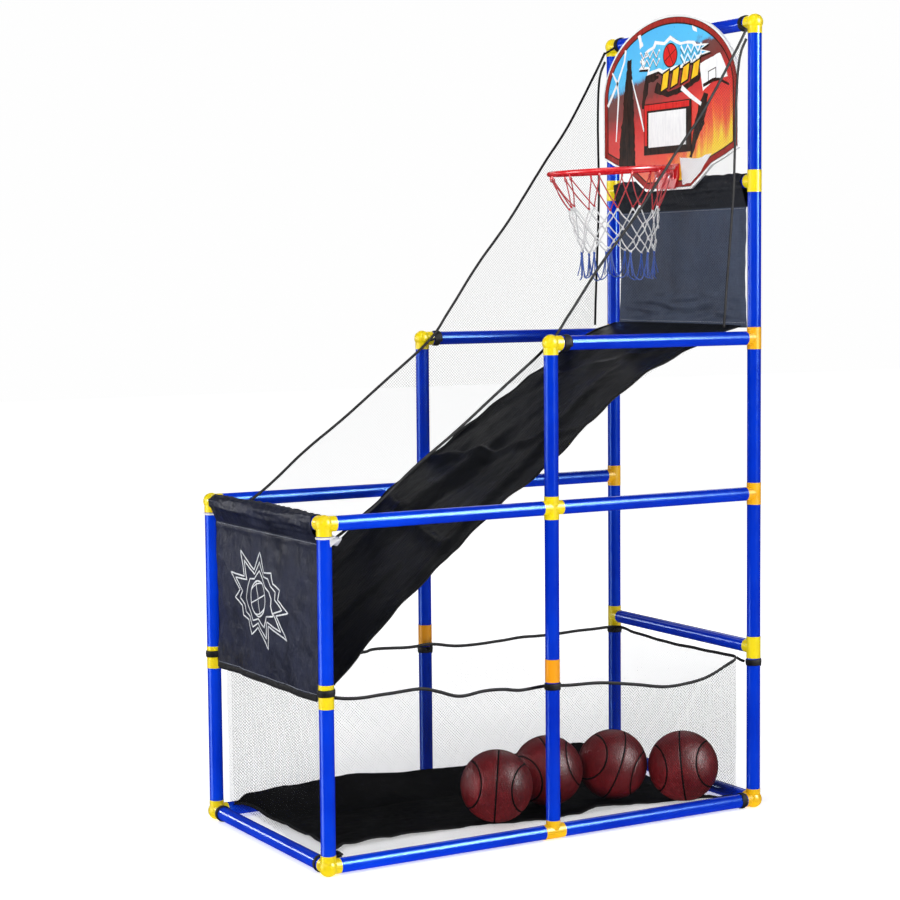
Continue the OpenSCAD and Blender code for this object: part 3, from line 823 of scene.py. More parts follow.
def netting(name, outline, place, normal, stands_for, material=STORE_THREAD, flat=None):
    """Diamond netting over a flat outline, as fine three-sided threads. place(a, b) lays arrays of
    points, and normal is the direction that the net faces. flat is the rectangle that it is cut
    from, where that isn't the outline's box; it is not used."""
    pts = np.array(outline)
    low, high = pts.min(0), pts.max(0)
    i, j = np.meshgrid(*(np.arange(int(n / NET_HALF) + 2) for n in high - low), indexing="ij")
    even = (i + j) % 2 == 0
    a, b = low[0] + i[even] * NET_HALF, low[1] + j[even] * NET_HALF
    verts = []
    normal = np.array(normal, float)
    for rise in (NET_HALF, -NET_HALF):
        a1, b1 = a + NET_HALF, b + rise
        keep = inside(outline, (a + a1) / 2, (b + b1) / 2)
        start, stop = place(a[keep], b[keep]), place(a1[keep], b1[keep])
        ahead = stop - start
        beside = np.cross(ahead, normal)
        beside /= np.linalg.norm(beside, axis=1)[:, None]
        ends = []
        for end in (start, stop):
            for turn in (90, 210, 330):
                t = math.radians(turn)
                ends.append(end + THREAD_R * (math.cos(t) * beside + math.sin(t) * normal))
        verts.append(np.stack(ends, 1).reshape(-1, 3))
    verts = np.concatenate(verts)
    walls = np.array([[k, (k + 1) % 3, 3 + (k + 1) % 3, 3 + k] for k in range(3)])
    faces = (np.arange(len(verts) // 6)[:, None, None] * 6 + walls[None]).reshape(-1, 4)
    piece = add_mesh(name, verts, faces, material, "frame", stands_for, "grey_mesh", smooth=False)
    flat = flat or tuple(float(n) for n in high - low)


# A side net's front and rear edges, as (y, z) from top to bottom.
FRONT_EDGE = [(0.421, 1.422), (0.393, 1.374), (0.330, 1.275), (0.269, 1.197), (0.190, 1.092),
              (0.114, 1.003), (0.050, 0.918), (0.004, 0.862), (-0.090, 0.790), (-0.180, 0.722),
              (-0.260, 0.666), (-0.340, 0.602), (-0.423, 0.549)]
REAR_EDGE = [(0.421, 1.404), (0.407, 1.370), (0.401, 1.290), (0.400, 1.160), (0.397, 1.090),
             (0.391, 1.000), (0.385, 0.904), (0.384, 0.886)]
NET_LEAN = math.tan(math.radians(1.8))
NET_X = 207.8 * MM


def net_x(z):
    """How far out a side net is at a height: its upper half leans outwards."""
    return NET_X + np.maximum(0, z - level(3)) * NET_LEAN


def wavy(a, b, depth, seed):
    """Soft waves over a net, as arrays."""
    return depth * (0.5 * np.sin(9 * a + 5 * b + seed) + 0.3 * np.sin(21 * b - 13 * a + 2 * seed)
                    + 0.2 * np.sin(47 * a + 31 * b - seed))


NET_RECTANGLE = (0.346, 1.393)          # the smallest rectangle that a side net is cut from


def side_net(side, side_name, seed):
    along_ramp = near_curve if side > 0 else far_curve
    lower = [(-0.423, 0.300)] + [tuple(p) for p in along_ramp[4:146:6]]
    outline = curve(FRONT_EDGE, 0.02) + lower + curve(REAR_EDGE, 0.03)[::-1]

    def place(a, b):
        x = side * net_x(b) + wavy(a, b, 0.0022, seed)
        return np.stack([x, a, b], 1)

    netting(f"{side_name}_side_netting", outline, place, (1, 0, 0), [f"{side_name}_side_net"],
            THREAD, NET_RECTANGLE)
    tape = oval(0.0027, 0.0013, 10)
    parts = []
    for edge in (FRONT_EDGE, REAR_EDGE):
        line = spline(edge, 0.012)
        path = [(side * net_x(z) + 0.0006 * ripple(y, z, 0, 30, seed), y, z) for y, z in line]
        parts.append(sweep(path, tape, hint=(0, 0.6, -0.8)))
    add_parts(f"{side_name}_net_tape", parts, WEBBING, "frame", [f"{side_name}_net_binding"],
              "black_webbing")


side_net(1, "right", 0.7)
side_net(-1, "left", 2.9)


# ---------- ball store ----------

STORE_X = middle("storage_right_net").x
STORE_END = 0.418                       # where the store's side nets end, fore and aft
# The top edges of the store's side nets, as (y, z) from front to back.
RIGHT_EDGE = [(-STORE_END, 0.292), (-0.371, 0.285), (-0.316, 0.286), (-0.252, 0.288),
              (-0.215, 0.280), (-0.174, 0.268), (-0.129, 0.271), (-0.087, 0.270), (-0.050, 0.265),
              (0.0, 0.267), (0.050, 0.264), (0.104, 0.262), (0.169, 0.254), (0.237, 0.243),
              (0.288, 0.239), (0.340, 0.245), (0.390, 0.262), (STORE_END, 0.278)]
LEFT_EDGE = [(-STORE_END, 0.292), (-0.280, 0.287), (-0.153, 0.283), (-0.125, 0.286),
             (-0.043, 0.283), (0.0, 0.284), (0.052, 0.276), (0.108, 0.275), (0.199, 0.279),
             (0.260, 0.278), (STORE_END, 0.280)]
REAR_STORE_Y = middle("storage_rear_net").y
FRONT_NET_Y = middle("storage_front_net").y


def store_side(side, side_name, edge, seed):
    outline = [(-STORE_END, 0.005)] + curve(edge, 0.02) + [(STORE_END, 0.005)]

    def place(a, b):
        inward = 0.010 * np.clip(1 - b / 0.12, 0, 1) ** 2
        x = side * (STORE_X - inward) + wavy(a, b, 0.0016, seed)
        return np.stack([x, a, b], 1)

    netting(f"store_{side_name}_netting", outline, place, (1, 0, 0),
            [f"storage_{side_name}_net"])


store_side(1, "right", RIGHT_EDGE, 1.1)
store_side(-1, "left", LEFT_EDGE, 3.4)


def store_ends():
    half = STORE_X - 3 * MM

    def front(a, b):
        return np.stack([a, FRONT_NET_Y + wavy(a, b, 0.0016, 5.2), b], 1)

    def rear(a, b):
        return np.stack([a, REAR_STORE_Y + wavy(a, b, 0.0012, 6.1), b], 1)

    netting("store_front_netting",
            [(-0.214, 0.034), (-0.214, 0.286), (half, 0.290), (half, 0.011)],
            front, (0, 1, 0), ["storage_front_net"])
    netting("store_rear_netting",
            [(-half, 0.008), (-half, 0.279), (0, 0.275), (half, 0.276), (half, 0.008)],
            rear, (0, 1, 0), ["storage_rear_net"])


store_ends()


def store_cord():
    """The elastic cord along the top of the store's nets, one closed loop."""
    route = [(STORE_X, y, z) for y, z in RIGHT_EDGE]
    route += [(x, REAR_STORE_Y, z) for x, z in ((0.120, 0.277), (0.0, 0.275), (-0.120, 0.278))]
    route += [(-STORE_X, y, z) for y, z in LEFT_EDGE[::-1]]
    route += [(x, FRONT_NET_Y, 0.289) for x in (-0.120, 0.0, 0.120)]
    line = spline([route[-1]] + route + [route[0], route[1]], 0.008)
    start = int(np.argmin(np.linalg.norm(line - np.array(route[0]), axis=1)))
    stop = len(line) - 1 - int(np.argmin(np.linalg.norm(line[::-1] - np.array(route[0]), axis=1)))
    loop = line[start:stop]
    loop[:, 2] += [0.0012 * ripple(p[0], p[1], 0, 22, 9.1) for p in loop]
    add_parts("store_elastic", [sweep(loop, oval(0.0030, 0.0016, 10), closed=True)], WEBBING,
              "frame", ["storage_net_cord"], "black_webbing")


store_cord()


def bow(t, power=1.0):
    """A bow from 0 up to 1 and back to 0. A low power makes it flat-topped."""
    return max(0.0, math.sin(math.pi * min(1, max(0, t)))) ** power


# The store floor's near edge as (y, x), and the height of its far edge as (y, z).
FLOOR_NEAR = [(-0.420, 0.190), (-0.400, 0.120), (-0.352, 0.082), (-0.223, 0.074), (-0.079, 0.078),
              (0.055, 0.112), (0.160, 0.104), (0.249, 0.102), (0.352, 0.130), (0.418, 0.192)]
FLOOR_FAR_Z = [(-0.420, 0.010), (-0.396, 0.032), (-0.324, 0.045), (-0.246, 0.051),
               (-0.139, 0.050), (-0.031, 0.041), (0.064, 0.040), (0.200, 0.046), (0.320, 0.050),
               (0.380, 0.040), (0.418, 0.022)]


def store_floor_place(a, b):
    """The floor cloth: tied at its four corners, with edges that bow in, and its far side lifted."""
    y0, y1 = -0.420 + 0.062 * bow(a, 0.35), 0.418 - 0.004 * bow(a)
    y = y0 + (y1 - y0) * b
    line = -0.420 + 0.838 * b
    left = -0.197 + 0.003 * bow(b)
    right = float(np.interp(line, *zip(*FLOOR_NEAR)))
    x = left + (right - left) * a
    lift = float(np.interp(line, *zip(*FLOOR_FAR_Z))) * max(0.0, 1 - a / 0.22) ** 1.4
    corner = (abs(2 * a - 1) * abs(2 * b - 1)) ** 6
    crumple = 0.0040 * abs(ripple(x, y * 0.7, 0, 20, 6.0)) + 0.0020 * abs(ripple(x, y, 0, 52, 1.0))
    edge = min(a, 1 - a, b, 1 - b)
    crumple += 0.010 * max(0.0, ripple(x * 1.5, y * 0.8, 0, 12, 7.7)) * math.exp(-edge * 14)
    pull = 0.006 * abs(math.sin(26 * (x + 0.6 * y))) * math.exp(-min(a + b, 1 - a + b) * 6)
    z = 0.0010 + lift + crumple + pull + 0.010 * corner
    for bx, by, bz, r in BALL_SPOTS:
        away = math.hypot(x - bx, y - by)
        if away < r:
            z = min(z, bz - math.sqrt(r * r - away * away) - 0.0006)
    return (x, y, max(0.0008, z)), (a * 0.39, b * 0.84)


BALL_SPOTS = []
for k in (1, 2, 3, 4):
    centre = middle(f"ball_{k}")
    low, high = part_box(f"ball_{k}")
    BALL_SPOTS.append((centre.x, centre.y, centre.z, (high.z - low.z) / 2))

verts, faces, uvs = grid(store_floor_place, 120, 220)
floor_piece = add_mesh("store_floor_cloth", verts, faces, FLOOR_CLOTH, "frame", ["storage_floor"],
                       "floor_fabric", uvs=uvs)
thicken(floor_piece, 0.0005, 0.0)
for edge_name, points in (
        ("near", [store_floor_place(0.996, t)[0] for t in np.linspace(0, 1, 160)]),
        ("front", [store_floor_place(t, 0.003)[0] for t in np.linspace(0, 1, 90)])):
    hem(f"store_floor_{edge_name}_hem", [Vector(p) + Vector((0, 0, 0.0012)) for p in points],
        0.0045, 0.0011, (1, 0, 0) if edge_name == "near" else (0, 1, 0))


# ---------- ties ----------

def wrap(centre, axis, radius, width, turns, lean, thick=0.0011):
    """A strip wound round a tube. Returns its mesh parts."""
    axis = Vector(axis)
    u = axis.orthogonal().normalized()
    v = axis.cross(u)
    path = []
    steps = int(30 * turns)
    for k in range(steps + 1):
        a = math.tau * turns * k / steps
        r = radius + thick * 0.7 + 0.0006 * (k / steps)
        along = (k / steps - 0.5) * lean
        path.append(Vector(centre) + r * (math.cos(a) * u + math.sin(a) * v) + along * axis)
    return sweep(path, oval(width / 2, thick, 8), tuple(axis))


def loop_to(start, end, sag, thick=0.0016):
    """A short webbing loop between two points."""
    start, end = Vector(start), Vector(end)
    mid = (start + end) / 2 + Vector((0, 0, -sag))
    return sweep(spline([start, mid, end], 0.003), oval(0.0026, thick, 8), (0.3, 0.4, 0.9))


COLLAR_R = TUBE_R + 0.5 * MM
ARM = level(1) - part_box("post_couplings")[0].z - 22 * MM     # a connector's reach along a tube
TIE_X = POST_X - ARM - 8 * MM           # where a tie sits on a crossbar, beside its connector
BACKWARDS, ACROSS, UP = (0, 1, 0), (1, 0, 0), (0, 0, 1)


def upper_ties(side):
    """A side net's ties, behind the middle post's top and beside the rear post's top."""
    return [
        wrap((side * POST_X, ARM + 0.009, level(3)), BACKWARDS, TUBE_R, 0.009, 2.2, 0.008),
        loop_to((side * (POST_X - 0.012), ARM + 0.004, level(3) + 0.002),
                (side * net_x(level(3)), 0.006, level(3) - 0.003), 0.002),
        wrap((side * TIE_X, BAY, level(5)), ACROSS, TUBE_R, 0.009, 2.2, 0.006),
        loop_to((side * TIE_X, BAY - 0.013, level(5) - 0.004),
                (side * net_x(1.42), 0.421, 1.420), 0.0)]


def net_corner(side):
    """A side net's front corner: gathered, wound once round the front post, and ragged."""
    z = level(2) - ARM - 0.007
    parts = [wrap((side * POST_X, -BAY, z + 0.004), UP, TUBE_R, 0.0022, 2.2, 0.003)]
    for k in range(11):
        high = z + 0.0045 - 0.0006 * k
        tip = (side * (POST_X + 0.0122), -BAY + 0.0045 + 0.0004 * (k % 4),
               high - 0.0035 - 0.0016 * (k * 5 % 4))
        out = (side * (POST_X - 0.001 * (k % 3)), -BAY + TUBE_R + 0.001 + 0.0018 * k, high + 0.002)
        edge = (side * net_x(0.549), -0.424 + 0.0016 * k, 0.549 - 0.0004 * k)
        parts += [loop_to(tip, out, -0.0012, 0.0009),
                  loop_to(out, edge, 0.001 * (k % 3), 0.0009)]
    return parts


def store_ties(side):
    """The ties of the store nets' top edge, at the three posts of a side."""
    x, z = side * POST_X, level(1) - ARM - 0.008
    parts = [wrap((x, -BAY, level(1) + 0.006), UP, COLLAR_R, 0.009, 2.3, 0.006),
             loop_to((x - side * 0.010, -BAY + 0.011, level(1) + 0.002),
                     (side * STORE_X, -STORE_END, 0.292), 0.001)]
    for y, reach, edge_z in ((0, 0, 0.268 if side > 0 else 0.284), (BAY, -0.020, 0.278)):
        parts += [wrap((x, y, z), UP, TUBE_R, 0.009, 2.3, 0.006),
                  loop_to((x - side * 0.0135, y + reach / 2, z),
                          (side * STORE_X, y + reach, edge_z), 0.001)]
    return parts


def floor_ties(side):
    """The store floor's ties, on the front crossbar and at the rear end of the side rail."""
    x, y = side * POST_X, BAY - ARM - 0.008
    return [wrap((side * TIE_X, -BAY, BASE_Z), ACROSS, TUBE_R, 0.008, 2.2, 0.004),
            wrap((x, y, BASE_Z), BACKWARDS, TUBE_R, 0.008, 2.2, 0.004),
            loop_to((side * TIE_X, -BAY + 0.0135, BASE_Z - 0.004),
                    (side * 0.194, -0.419, 0.010), 0.001),
            loop_to((x - side * 0.0135, y, BASE_Z - 0.003), (side * 0.196, 0.412, 0.012), 0.001)]


for name, made, material, slot, node in (
        ("upper_tie_wraps", upper_ties, WEBBING, "black_webbing", "upper_ties"),
        ("net_corner_wraps", net_corner, NET_CORNER, None, "upper_ties"),
        ("store_tie_wraps", store_ties, WEBBING, "black_webbing", "storage_ties"),
        ("floor_tie_wraps", floor_ties, WEBBING, "black_webbing", "floor_ties")):
    add_parts(name, made(-1) + made(1), material, "frame", [node], slot)


# ---------- board print ----------

BOARD_LOW, BOARD_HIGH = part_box("backboard")
BOARD_Y = BOARD_LOW.y
LOWER_EDGE = [(0.333, 0), (0.47, 0.26), (0.63, 0.59), (0.82, 0.78), (1, 1)]
CORNER_Z = BOARD_LOW.z + 69 * MM
ARCH_Z = BOARD_LOW.z + 180 * MM


def board_outline():
    half = BOARD_HIGH.x
    lower = [(s * half, BOARD_LOW.z + t * (CORNER_Z - BOARD_LOW.z)) for s, t in LOWER_EDGE]
    arch = [(half * math.cos(math.pi * k / 60),
             ARCH_Z + (BOARD_HIGH.z - ARCH_Z) * math.sin(math.pi * k / 60)) for k in range(61)]
    return lower + arch + [(-x, z) for x, z in lower[::-1]]


def inset(points, d):
    """An outline moved inwards by d, where it runs anticlockwise."""
    out = []
    count = len(points)
    for k in range(count):
        p0, p1, p2 = (np.array(points[(k + s) % count]) for s in (-1, 0, 1))
        n0 = np.array([-(p1 - p0)[1], (p1 - p0)[0]]) / max(np.linalg.norm(p1 - p0), 1e-9)
        n1 = np.array([-(p2 - p1)[1], (p2 - p1)[0]]) / max(np.linalg.norm(p2 - p1), 1e-9)
        n = (n0 + n1) / max(np.linalg.norm(n0 + n1), 1e-9)
        out.append(tuple(p1 + n * d / max(0.5, float(n @ n0))))
    return out


def torn(points, amount, step, seed):
    """An outline with a rough, brushed edge."""
    return [(x + amount * ripple(x, y, 0, 90, seed) + amount * 0.5 * ripple(x, y, 0, 260, seed),
             y + amount * ripple(x, y, 0, 90, seed + 9)
             + amount * 0.5 * ripple(x, y, 0, 260, seed + 5)) for x, y in dense(points, step)]


def decal(name, shapes, lift, material):
    """Flat ink shapes on the board's face. A shape is an outline, or a pair of outlines for a ring."""
    verts, faces = [], []
    for shape in shapes:
        base = len(verts)
        if isinstance(shape, tuple):
            outer, inner = shape
            count = len(outer)
            verts += list(outer) + list(inner)
            faces += [[base + k, base + (k + 1) % count, base + count + (k + 1) % count,
                       base + count + k] for k in range(count)]
        else:
            verts += list(shape)
            faces += [[base + k for k in tri] for tri in
                      tessellate_polygon([[Vector((x, z, 0)) for x, z in shape]])]
    laid = [(x, BOARD_Y - lift * MM, z) for x, z in verts]
    add_mesh(name, laid, faces, material, "board", smooth=False, uvs=verts)


def ring(points, width):
    """A band of that width just inside an outline."""
    return (points, inset(points, width))


def box_outline(x0, x1, z0, z1):
    return [(x0, z0), (x1, z0), (x1, z1), (x0, z1)]


def stroke(points, widths):
    """An outline of a brush stroke along points, with a width at each."""
    pts = np.array(points, float)
    ahead = np.gradient(pts, axis=0)
    ahead /= np.linalg.norm(ahead, axis=1)[:, None]
    across = np.stack([-ahead[:, 1], ahead[:, 0]], 1) * np.array(widths)[:, None] / 2
    return [tuple(p) for p in pts - across] + [tuple(p) for p in (pts + across)[::-1]]


def mm_points(*pairs):
    """Points on the board, given in millimetres."""
    return [(x * MM, z * MM) for x, z in pairs]


def brush(*spots):
    """A brush stroke through spots, each given as its x, its z and the stroke's width there, in
    millimetres."""
    return stroke(mm_points(*(spot[:2] for spot in spots)), [spot[2] * MM for spot in spots])


outline = board_outline()
decal("board_border", [ring(inset(outline, 0.0045), 0.0105)], 0.15, MAROON_INK)
decal("board_border_lines", [ring(inset(outline, 0.0042), 0.0010),
                             ring(inset(outline, 0.0146), 0.0026)], 0.22, DARK_INK)
decal("board_picture", [inset(outline, 0.0166)], 0.15, print_material(BOARD_LOW, BOARD_HIGH))
decal("board_dark_strokes", [
    torn(brush((-134, 1190, 58), (-134, 1240, 50), (-130, 1296, 38), (-128, 1350, 26),
               (-126, 1398, 14)), 0.004, 0.006, 2.0),
    torn(brush((70, 1200, 6), (84, 1232, 16), (97, 1262, 28), (108, 1290, 26), (118, 1316, 12)),
         0.004, 0.006, 4.0),
    torn(brush((-82, 1302, 6), (-74, 1330, 16), (-66, 1356, 18), (-30, 1358, 8)),
         0.003, 0.006, 6.0),
    torn(brush((-40, 1340, 22), (0, 1322, 10), (52, 1330, 12), (96, 1346, 10), (112, 1362, 8)),
         0.002, 0.006, 7.0)], 0.24, DARK_INK)
decal("board_white_shapes", [
    torn(mm_points((99, 1371), (161, 1386), (176, 1364), (184, 1341), (140, 1337), (109, 1320)),
         0.0014, 0.006, 1.0),
    torn(mm_points((38, 1202), (96, 1198), (136, 1206), (100, 1172), (72, 1154), (46, 1152)),
         0.0016, 0.005, 3.0),
    torn(mm_points((-97, 1440), (-88, 1443), (-80, 1420), (-90, 1416)), 0.0022, 0.004, 5.0),
    torn(mm_points((76, 1444), (90, 1437), (92, 1429), (79, 1435)), 0.0020, 0.004, 9.0),
    brush((-138, 1418, 6), (-143, 1396, 5), (-167, 1356, 6), (-200, 1314, 7)),
    brush((-184, 1378, 4), (-167, 1356, 6), (-163, 1330, 5), (-172, 1244, 3)),
    brush((-118, 1360, 2), (-104, 1326, 4), (-92, 1298, 6), (-78, 1258, 3)),
    brush((43, 1332, 10), (72, 1314, 9), (104, 1297, 7))], 0.32, WHITE_INK)
decal("board_small_target", [
    ring(mm_points((125, 1334), (150, 1341), (149, 1361), (125, 1355)), 0.0018),
    brush((110, 1330, 6), (140, 1338, 7), (158, 1338, 5), (188, 1326, 4))], 0.40, DARK_INK)
BURST = (0.008, 1.394)                  # where the middle of the burst is
decal("board_burst_shadow", [burst((0.010, 1.391), 0.124, 0.038, 15, 0.80, 1.3)], 0.40, DARK_INK)
decal("board_burst", [burst(BURST, 0.122, 0.036, 15, 0.78, 1.3)], 0.48, WHITE_INK)
decal("board_burst_fill", [burst(BURST, 0.110, 0.028, 15, 0.78, 1.3)], 0.56, SKY_INK)
waves = [stroke([(BURST[0] + side * (0.034 + 0.0105 * k), BURST[1] + rise * MM + 0.007 * (-1) ** k)
                 for k in range(7)], [0.0045] * 7)
         for side in (-1, 1) for rise in (8, -8)]
decal("board_waves", waves, 0.60, WHITE_INK)
decal("board_wave_lines", [stroke([(x, z - 0.0042) for x, z in wave[:7]], [0.0018] * 7)
                           for wave in waves], 0.64, DARK_INK)
streaks = [mm_points((-22 + 32 * k, 1330 + 5 * k), (-2 + 32 * k, 1336 + 5 * k),
                     (4 + 32 * k, 1367 + 4 * k), (-14 + 32 * k, 1361 + 4 * k))
           for k in range(4)]
decal("board_streak_shadow", [inset(s, -0.0034) for s in streaks], 0.60, DARK_INK)
decal("board_streaks", streaks, 0.68, YELLOW_INK)


def plain_ball():
    """A plain ball in the middle of the burst."""
    middle_x, middle_z = BURST[0], BURST[1] + 0.001
    for name, radius, lift, ink in (("board_ball_edge", 0.0230, 0.76, DARK_INK),
                                    ("board_ball", 0.0205, 0.84, RED_INK)):
        disc = [(middle_x + x, middle_z + z) for x, z in circle(radius, 40)]
        decal(name, [disc], lift, ink)
    lines = [stroke([(middle_x + 0.0196 * t * c, middle_z + 0.0196 * t * s)
                     for t in np.linspace(-1, 1, 9)], [0.0016] * 9)
             for c, s in ((math.cos(0.5), math.sin(0.5)), (-math.sin(0.5), math.cos(0.5)))]
    decal("board_ball_lines", lines, 0.92, DARK_INK)


plain_ball()
target = box_outline(-0.077, 0.075, 1.212, 1.309)
decal("board_target_shadow", [target], 1.00, DARK_INK)
decal("board_target_frame", [box_outline(-0.075, 0.068, 1.296, 1.307),
                             box_outline(-0.075, -0.067, 1.230, 1.296)], 1.08, RED_INK)
decal("board_target_face", [box_outline(-0.062, 0.058, 1.226, 1.292)], 1.12, WHITE_INK)


# ---------- hoop net ----------

def hoop_net():
    low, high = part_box("hoop_net")
    centre = (low + high) / 2
    strands = 12
    rows = [(0.0, 0.1125, 0.0), (0.29, 0.086, 0.5), (0.45, 0.078, 0.0), (0.59, 0.072, 0.5),
            (0.71, 0.070, 0.0)]
    paints = ["red", "white", "white", "white"]
    top, tall = high.z + 0.004, high.z - low.z

    def knot(row, i):
        share, radius, shift = rows[row]
        a = math.radians(15 + 30 * (i + shift))
        lean = 1 + (0.03 * math.sin(3.1 * i + 2 * row) if row else 0.0)
        z = top - share * tall + (0.0032 * math.sin(2.3 * i + row) if row else 0.0)
        back = 0.022 * share                    # the net hangs a little back towards the board
        if row == 0:
            z = top + math.sin(a) * 0.113 * math.sin(math.radians(3)) + 0.002
        return Vector((centre.x + radius * lean * math.cos(a),
                       centre.y + radius * lean * math.sin(a) + back, z))

    parts = {"red": [], "white": [], "blue": []}

    def strand(paint, points, radius=0.0012):
        parts[paint].append(sweep(spline(points, 0.004), circle(radius, 6), (0.3, 0.2, 0.9)))

    for row, paint in enumerate(paints):
        for i in range(strands):
            for other in (i, i - 1) if rows[row + 1][2] > rows[row][2] else (i, i + 1):
                p, q = knot(row, i), knot(row + 1, other)
                mid = (p + q) / 2
                out = Vector((mid.x - centre.x, mid.y - centre.y, 0)).normalized()
                bend = 0.003 * math.sin(i * 1.7 + row + other)
                strand(paint, [p, mid + out * bend + Vector((0, 0, -0.002)), q])
    for row, paint in ((1, "red"), (1, "white"), (2, "white"), (3, "white"), (4, "white"),
                       (4, "blue")):
        for i in range(strands):
            p = knot(row, i)
            drop = 0.0 if paint == "red" or row == 4 and paint == "white" else 0.0028
            path = [p + Vector((0, 0, 0.0034 - drop)), p + Vector((0.0004, 0, 0.0008 - drop)),
                    p + Vector((0, 0.0004, -0.0024 - drop))]
            parts[paint].append(sweep(spline(path, 0.0012), circle(0.0022, 8), (1, 0.2, 0)))
    end = (1 - rows[4][0]) * tall
    for i in range(strands):
        a = math.radians(15 + 30 * i)
        p = knot(0, i)
        out = Vector((math.cos(a), math.sin(a), 0))
        loop = [p + 0.0026 * (math.cos(t) * out + math.sin(t) * Vector((0, 0, 1)))
                for t in np.linspace(0, math.tau, 13)[:-1]]
        parts["red"].append(sweep(loop, circle(0.0011, 6), tuple(out.cross(Vector((0, 0, 1)))),
                                  closed=True))
        here, beside = knot(4, i), knot(4, i + 1)
        out = Vector((here.x - centre.x, here.y - centre.y, 0)).normalized()
        around = (beside - here) * Vector((1, 1, 0)).length
        down = Vector((0, 0, -1))
        hang = end * (0.93 + 0.05 * math.sin(2.9 * i))
        low_point = (here + beside) / 2 + down * hang + out * 0.004
        strand("blue", [here, here.lerp(beside, 0.10) + down * hang * 0.5,
                        here.lerp(beside, 0.26) + down * hang * 0.88, low_point,
                        here.lerp(beside, 0.74) + down * hang * 0.88,
                        here.lerp(beside, 0.90) + down * hang * 0.5, beside])
        for lean in (-0.16, 0.05):
            strand("blue", [here, here + around * lean * 0.4 + down * end * 0.42,
                            here + around * lean + out * 0.002 + down * end * 0.80], 0.0010)
    for paint, material in (("red", RED_CORD), ("white", WHITE_CORD), ("blue", BLUE_CORD)):
        add_parts(f"hoop_net_{paint}", parts[paint], material, "board",
                  ["hoop_net"] if paint == "white" else (), "hoop_cord")


hoop_net()


# ---------- balls ----------

SEAM_MEAN, SEAM_SWING = math.radians(53), math.radians(12)   # a curved seam's angle from its pole


def seam_gap(d):
    """Distance, in radius, from a direction to the nearest seam."""
    pole = math.acos(max(-1.0, min(1.0, abs(d.x))))
    bend = SEAM_MEAN - SEAM_SWING * math.cos(2 * math.atan2(d.z, d.y))
    return min(abs(d.x), abs(d.z), abs(pole - bend))


def ball_skin(number, at, radius, spin):
    """A ball's pebbled skin, sunk along its seams."""
    around, down = 128, 96
    verts, faces = [], []
    for i in range(1, down):
        phi = math.pi * i / down
        for k in range(around):
            theta = math.tau * k / around
            d = Vector((math.sin(phi) * math.cos(theta), math.sin(phi) * math.sin(theta),
                        math.cos(phi)))
            sunk = 0.0011 * math.exp(-(seam_gap(d) * radius / 0.0022) ** 2)
            verts.append(spin @ (d * (radius - 0.0003 - sunk)))
    top, low = len(verts), len(verts) + 1
    verts += [spin @ Vector((0, 0, radius - 0.0012)), spin @ Vector((0, 0, -radius + 0.0012))]
    for i in range(down - 2):
        for k in range(around):
            a, b = i * around + k, i * around + (k + 1) % around
            faces.append([a, a + around, b + around, b])
    faces += [[top, k, (k + 1) % around] for k in range(around)]
    last = (down - 2) * around
    faces += [[low, last + (k + 1) % around, last + k] for k in range(around)]
    add_mesh(f"ball_{number}_skin", [v + at for v in verts], faces, BALL, f"ball_{number}",
             [f"ball_{number}"], "ball_skin")


def ball_seams(number, at, radius, spin):
    """A ball's seams: two great circles, and a curved seam round each pole."""
    turns = np.linspace(0, math.tau, 145)[:-1]
    lines = [[Vector((0, math.cos(t), math.sin(t))) for t in turns],
             [Vector((math.cos(t), math.sin(t), 0)) for t in turns]]
    for side in (-1, 1):
        bends = [(t, SEAM_MEAN - SEAM_SWING * math.cos(2 * t)) for t in turns]
        lines.append([Vector((side * math.cos(p), math.sin(p) * math.cos(t),
                              math.sin(p) * math.sin(t))) for t, p in bends])
    parts = []
    for line in lines:
        path = [spin @ (d * (radius - 0.0010)) + at for d in line]
        outward = np.array([tuple(spin @ d) for d in line])
        parts.append(sweep(path, oval(0.0008, 0.0016, 8), outward, closed=True))
    add_parts(f"ball_{number}_seams", parts, SEAM, f"ball_{number}")


for number, turn in ((1, (80, 4, 58)), (2, (78, -14, 74)), (3, (82, 20, 66)), (4, (80, -6, 52))):
    x, y, z, radius = BALL_SPOTS[number - 1]
    spin = Euler([math.radians(a) for a in turn]).to_matrix()
    ball_skin(number, Vector((x, y, z)), radius, spin)
    ball_seams(number, Vector((x, y, z)), radius, spin)


# ---------- floor, light and camera ----------

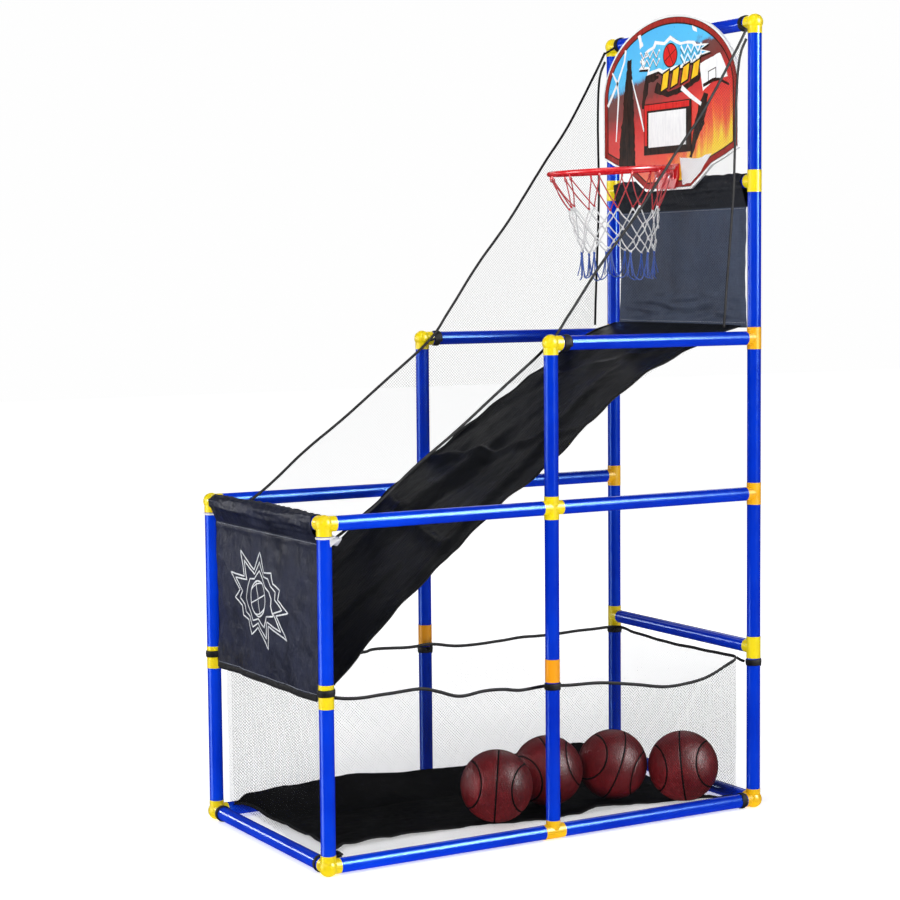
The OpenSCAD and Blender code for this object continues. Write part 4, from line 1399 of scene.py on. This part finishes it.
def stage():
    mesh = bpy.data.meshes.new("floor")
    size = 14.0
    mesh.from_pydata([(-size, -size, 0), (size, -size, 0), (size, size, 0), (-size, size, 0)], [],
                     [[0, 1, 2, 3]])
    floor = bpy.data.objects.new("floor", mesh)
    bpy.context.scene.collection.objects.link(floor)
    mesh.materials.append(floor_material())
    floor.visible_glossy = False            # so that glints can come from below its level
    world = bpy.data.worlds.new("studio")
    bpy.context.scene.world = world
    world.use_nodes = True
    tree = world.node_tree
    sky = tree.nodes["Background"]
    backdrop = tree.nodes.new("ShaderNodeBackground")
    for background in (sky, backdrop):
        background.inputs["Color"].default_value = (1.0, 1.0, 1.0, 1.0)
    backdrop.inputs["Strength"].default_value = 0.992
    seen = tree.nodes.new("ShaderNodeLightPath")
    mirrored = tree.nodes.new("ShaderNodeMapRange")         # the sky is dimmer in reflections
    mirrored.inputs["To Min"].default_value = 0.32
    mirrored.inputs["To Max"].default_value = 0.05
    tree.links.new(seen.outputs["Is Glossy Ray"], mirrored.inputs["Value"])
    tree.links.new(mirrored.outputs["Result"], sky.inputs["Strength"])
    either = tree.nodes.new("ShaderNodeMixShader")
    tree.links.new(seen.outputs["Is Camera Ray"], either.inputs[0])
    tree.links.new(sky.outputs[0], either.inputs[1])
    tree.links.new(backdrop.outputs[0], either.inputs[2])
    tree.links.new(either.outputs[0], tree.nodes["World Output"].inputs["Surface"])


def soft_light(name, at, aim, size, power, glint=False):
    """A soft lamp. A glint lamp makes highlights only."""
    lamp = bpy.data.lights.new(name, "AREA")
    lamp.shape = "RECTANGLE"
    lamp.size, lamp.size_y = size
    lamp.energy = power
    holder = bpy.data.objects.new(name, lamp)
    bpy.context.scene.collection.objects.link(holder)
    holder.location = at
    holder.visible_diffuse = not glint
    holder.rotation_euler = (Vector(aim) - Vector(at)).to_track_quat("-Z", "Y").to_euler()


def camera():
    """The camera, at the viewing angle of the frame's front and right side."""
    at = Vector((3.3234, -1.9982, 0.9743))
    yaw, pitch, roll = (math.radians(a) for a in (59.897, -4.496, -0.51))
    ahead = Vector((-math.sin(yaw) * math.cos(pitch), math.cos(yaw) * math.cos(pitch),
                    math.sin(pitch)))
    level_right = Vector((math.cos(yaw), math.sin(yaw), 0))
    level_up = level_right.cross(ahead)
    right = math.cos(roll) * level_right + math.sin(roll) * level_up
    up = -math.sin(roll) * level_right + math.cos(roll) * level_up
    made = bpy.data.cameras.new("camera")
    made.sensor_width = 36
    made.lens = 85.71
    made.clip_end = 100
    holder = bpy.data.objects.new("camera", made)
    bpy.context.scene.collection.objects.link(holder)
    turn = Matrix((right, up, -ahead)).transposed().to_4x4()
    holder.matrix_world = Matrix.Translation(at) @ turn
    bpy.context.scene.camera = holder


stage()
soft_light("key", (2.2, -3.4, 2.6), (0, 0, 0.7), (1.2, 2.4), 66)
soft_light("strip", (3.9, 0.9, 1.4), (0, 0, 0.7), (0.35, 2.6), 22)
soft_light("top", (0.9, -0.6, 3.6), (0, 0, 0.6), (0.5, 2.6), 34)
soft_light("back", (-2.6, 2.4, 2.6), (0, 0, 0.9), (1.6, 1.6), 20)
soft_light("left glint", (-1.05, -3.9, 0.6), (0, 0, 0.6), (2.4, 4.0), 270, glint=True)
soft_light("bar glint", (-3.5, -2.1, 1.06), (0, -0.44, 0.1), (1.0, 0.6), 36, glint=True)
soft_light("right glint", (3.6, 1.9, 1.7), (0, 0, 0.9), (0.5, 1.6), 170, glint=True)
soft_light("rail glint", (2.6, 1.4, 2.1), (0.2, 0, 0.5), (1.4, 1.7), 420, glint=True)
soft_light("ramp glint", (-3.4, 0.3, 2.7), (0, 0, 0.7), (1.0, 1.0), 7, glint=True)
camera()
scene = bpy.context.scene
scene.view_settings.view_transform = "Standard"
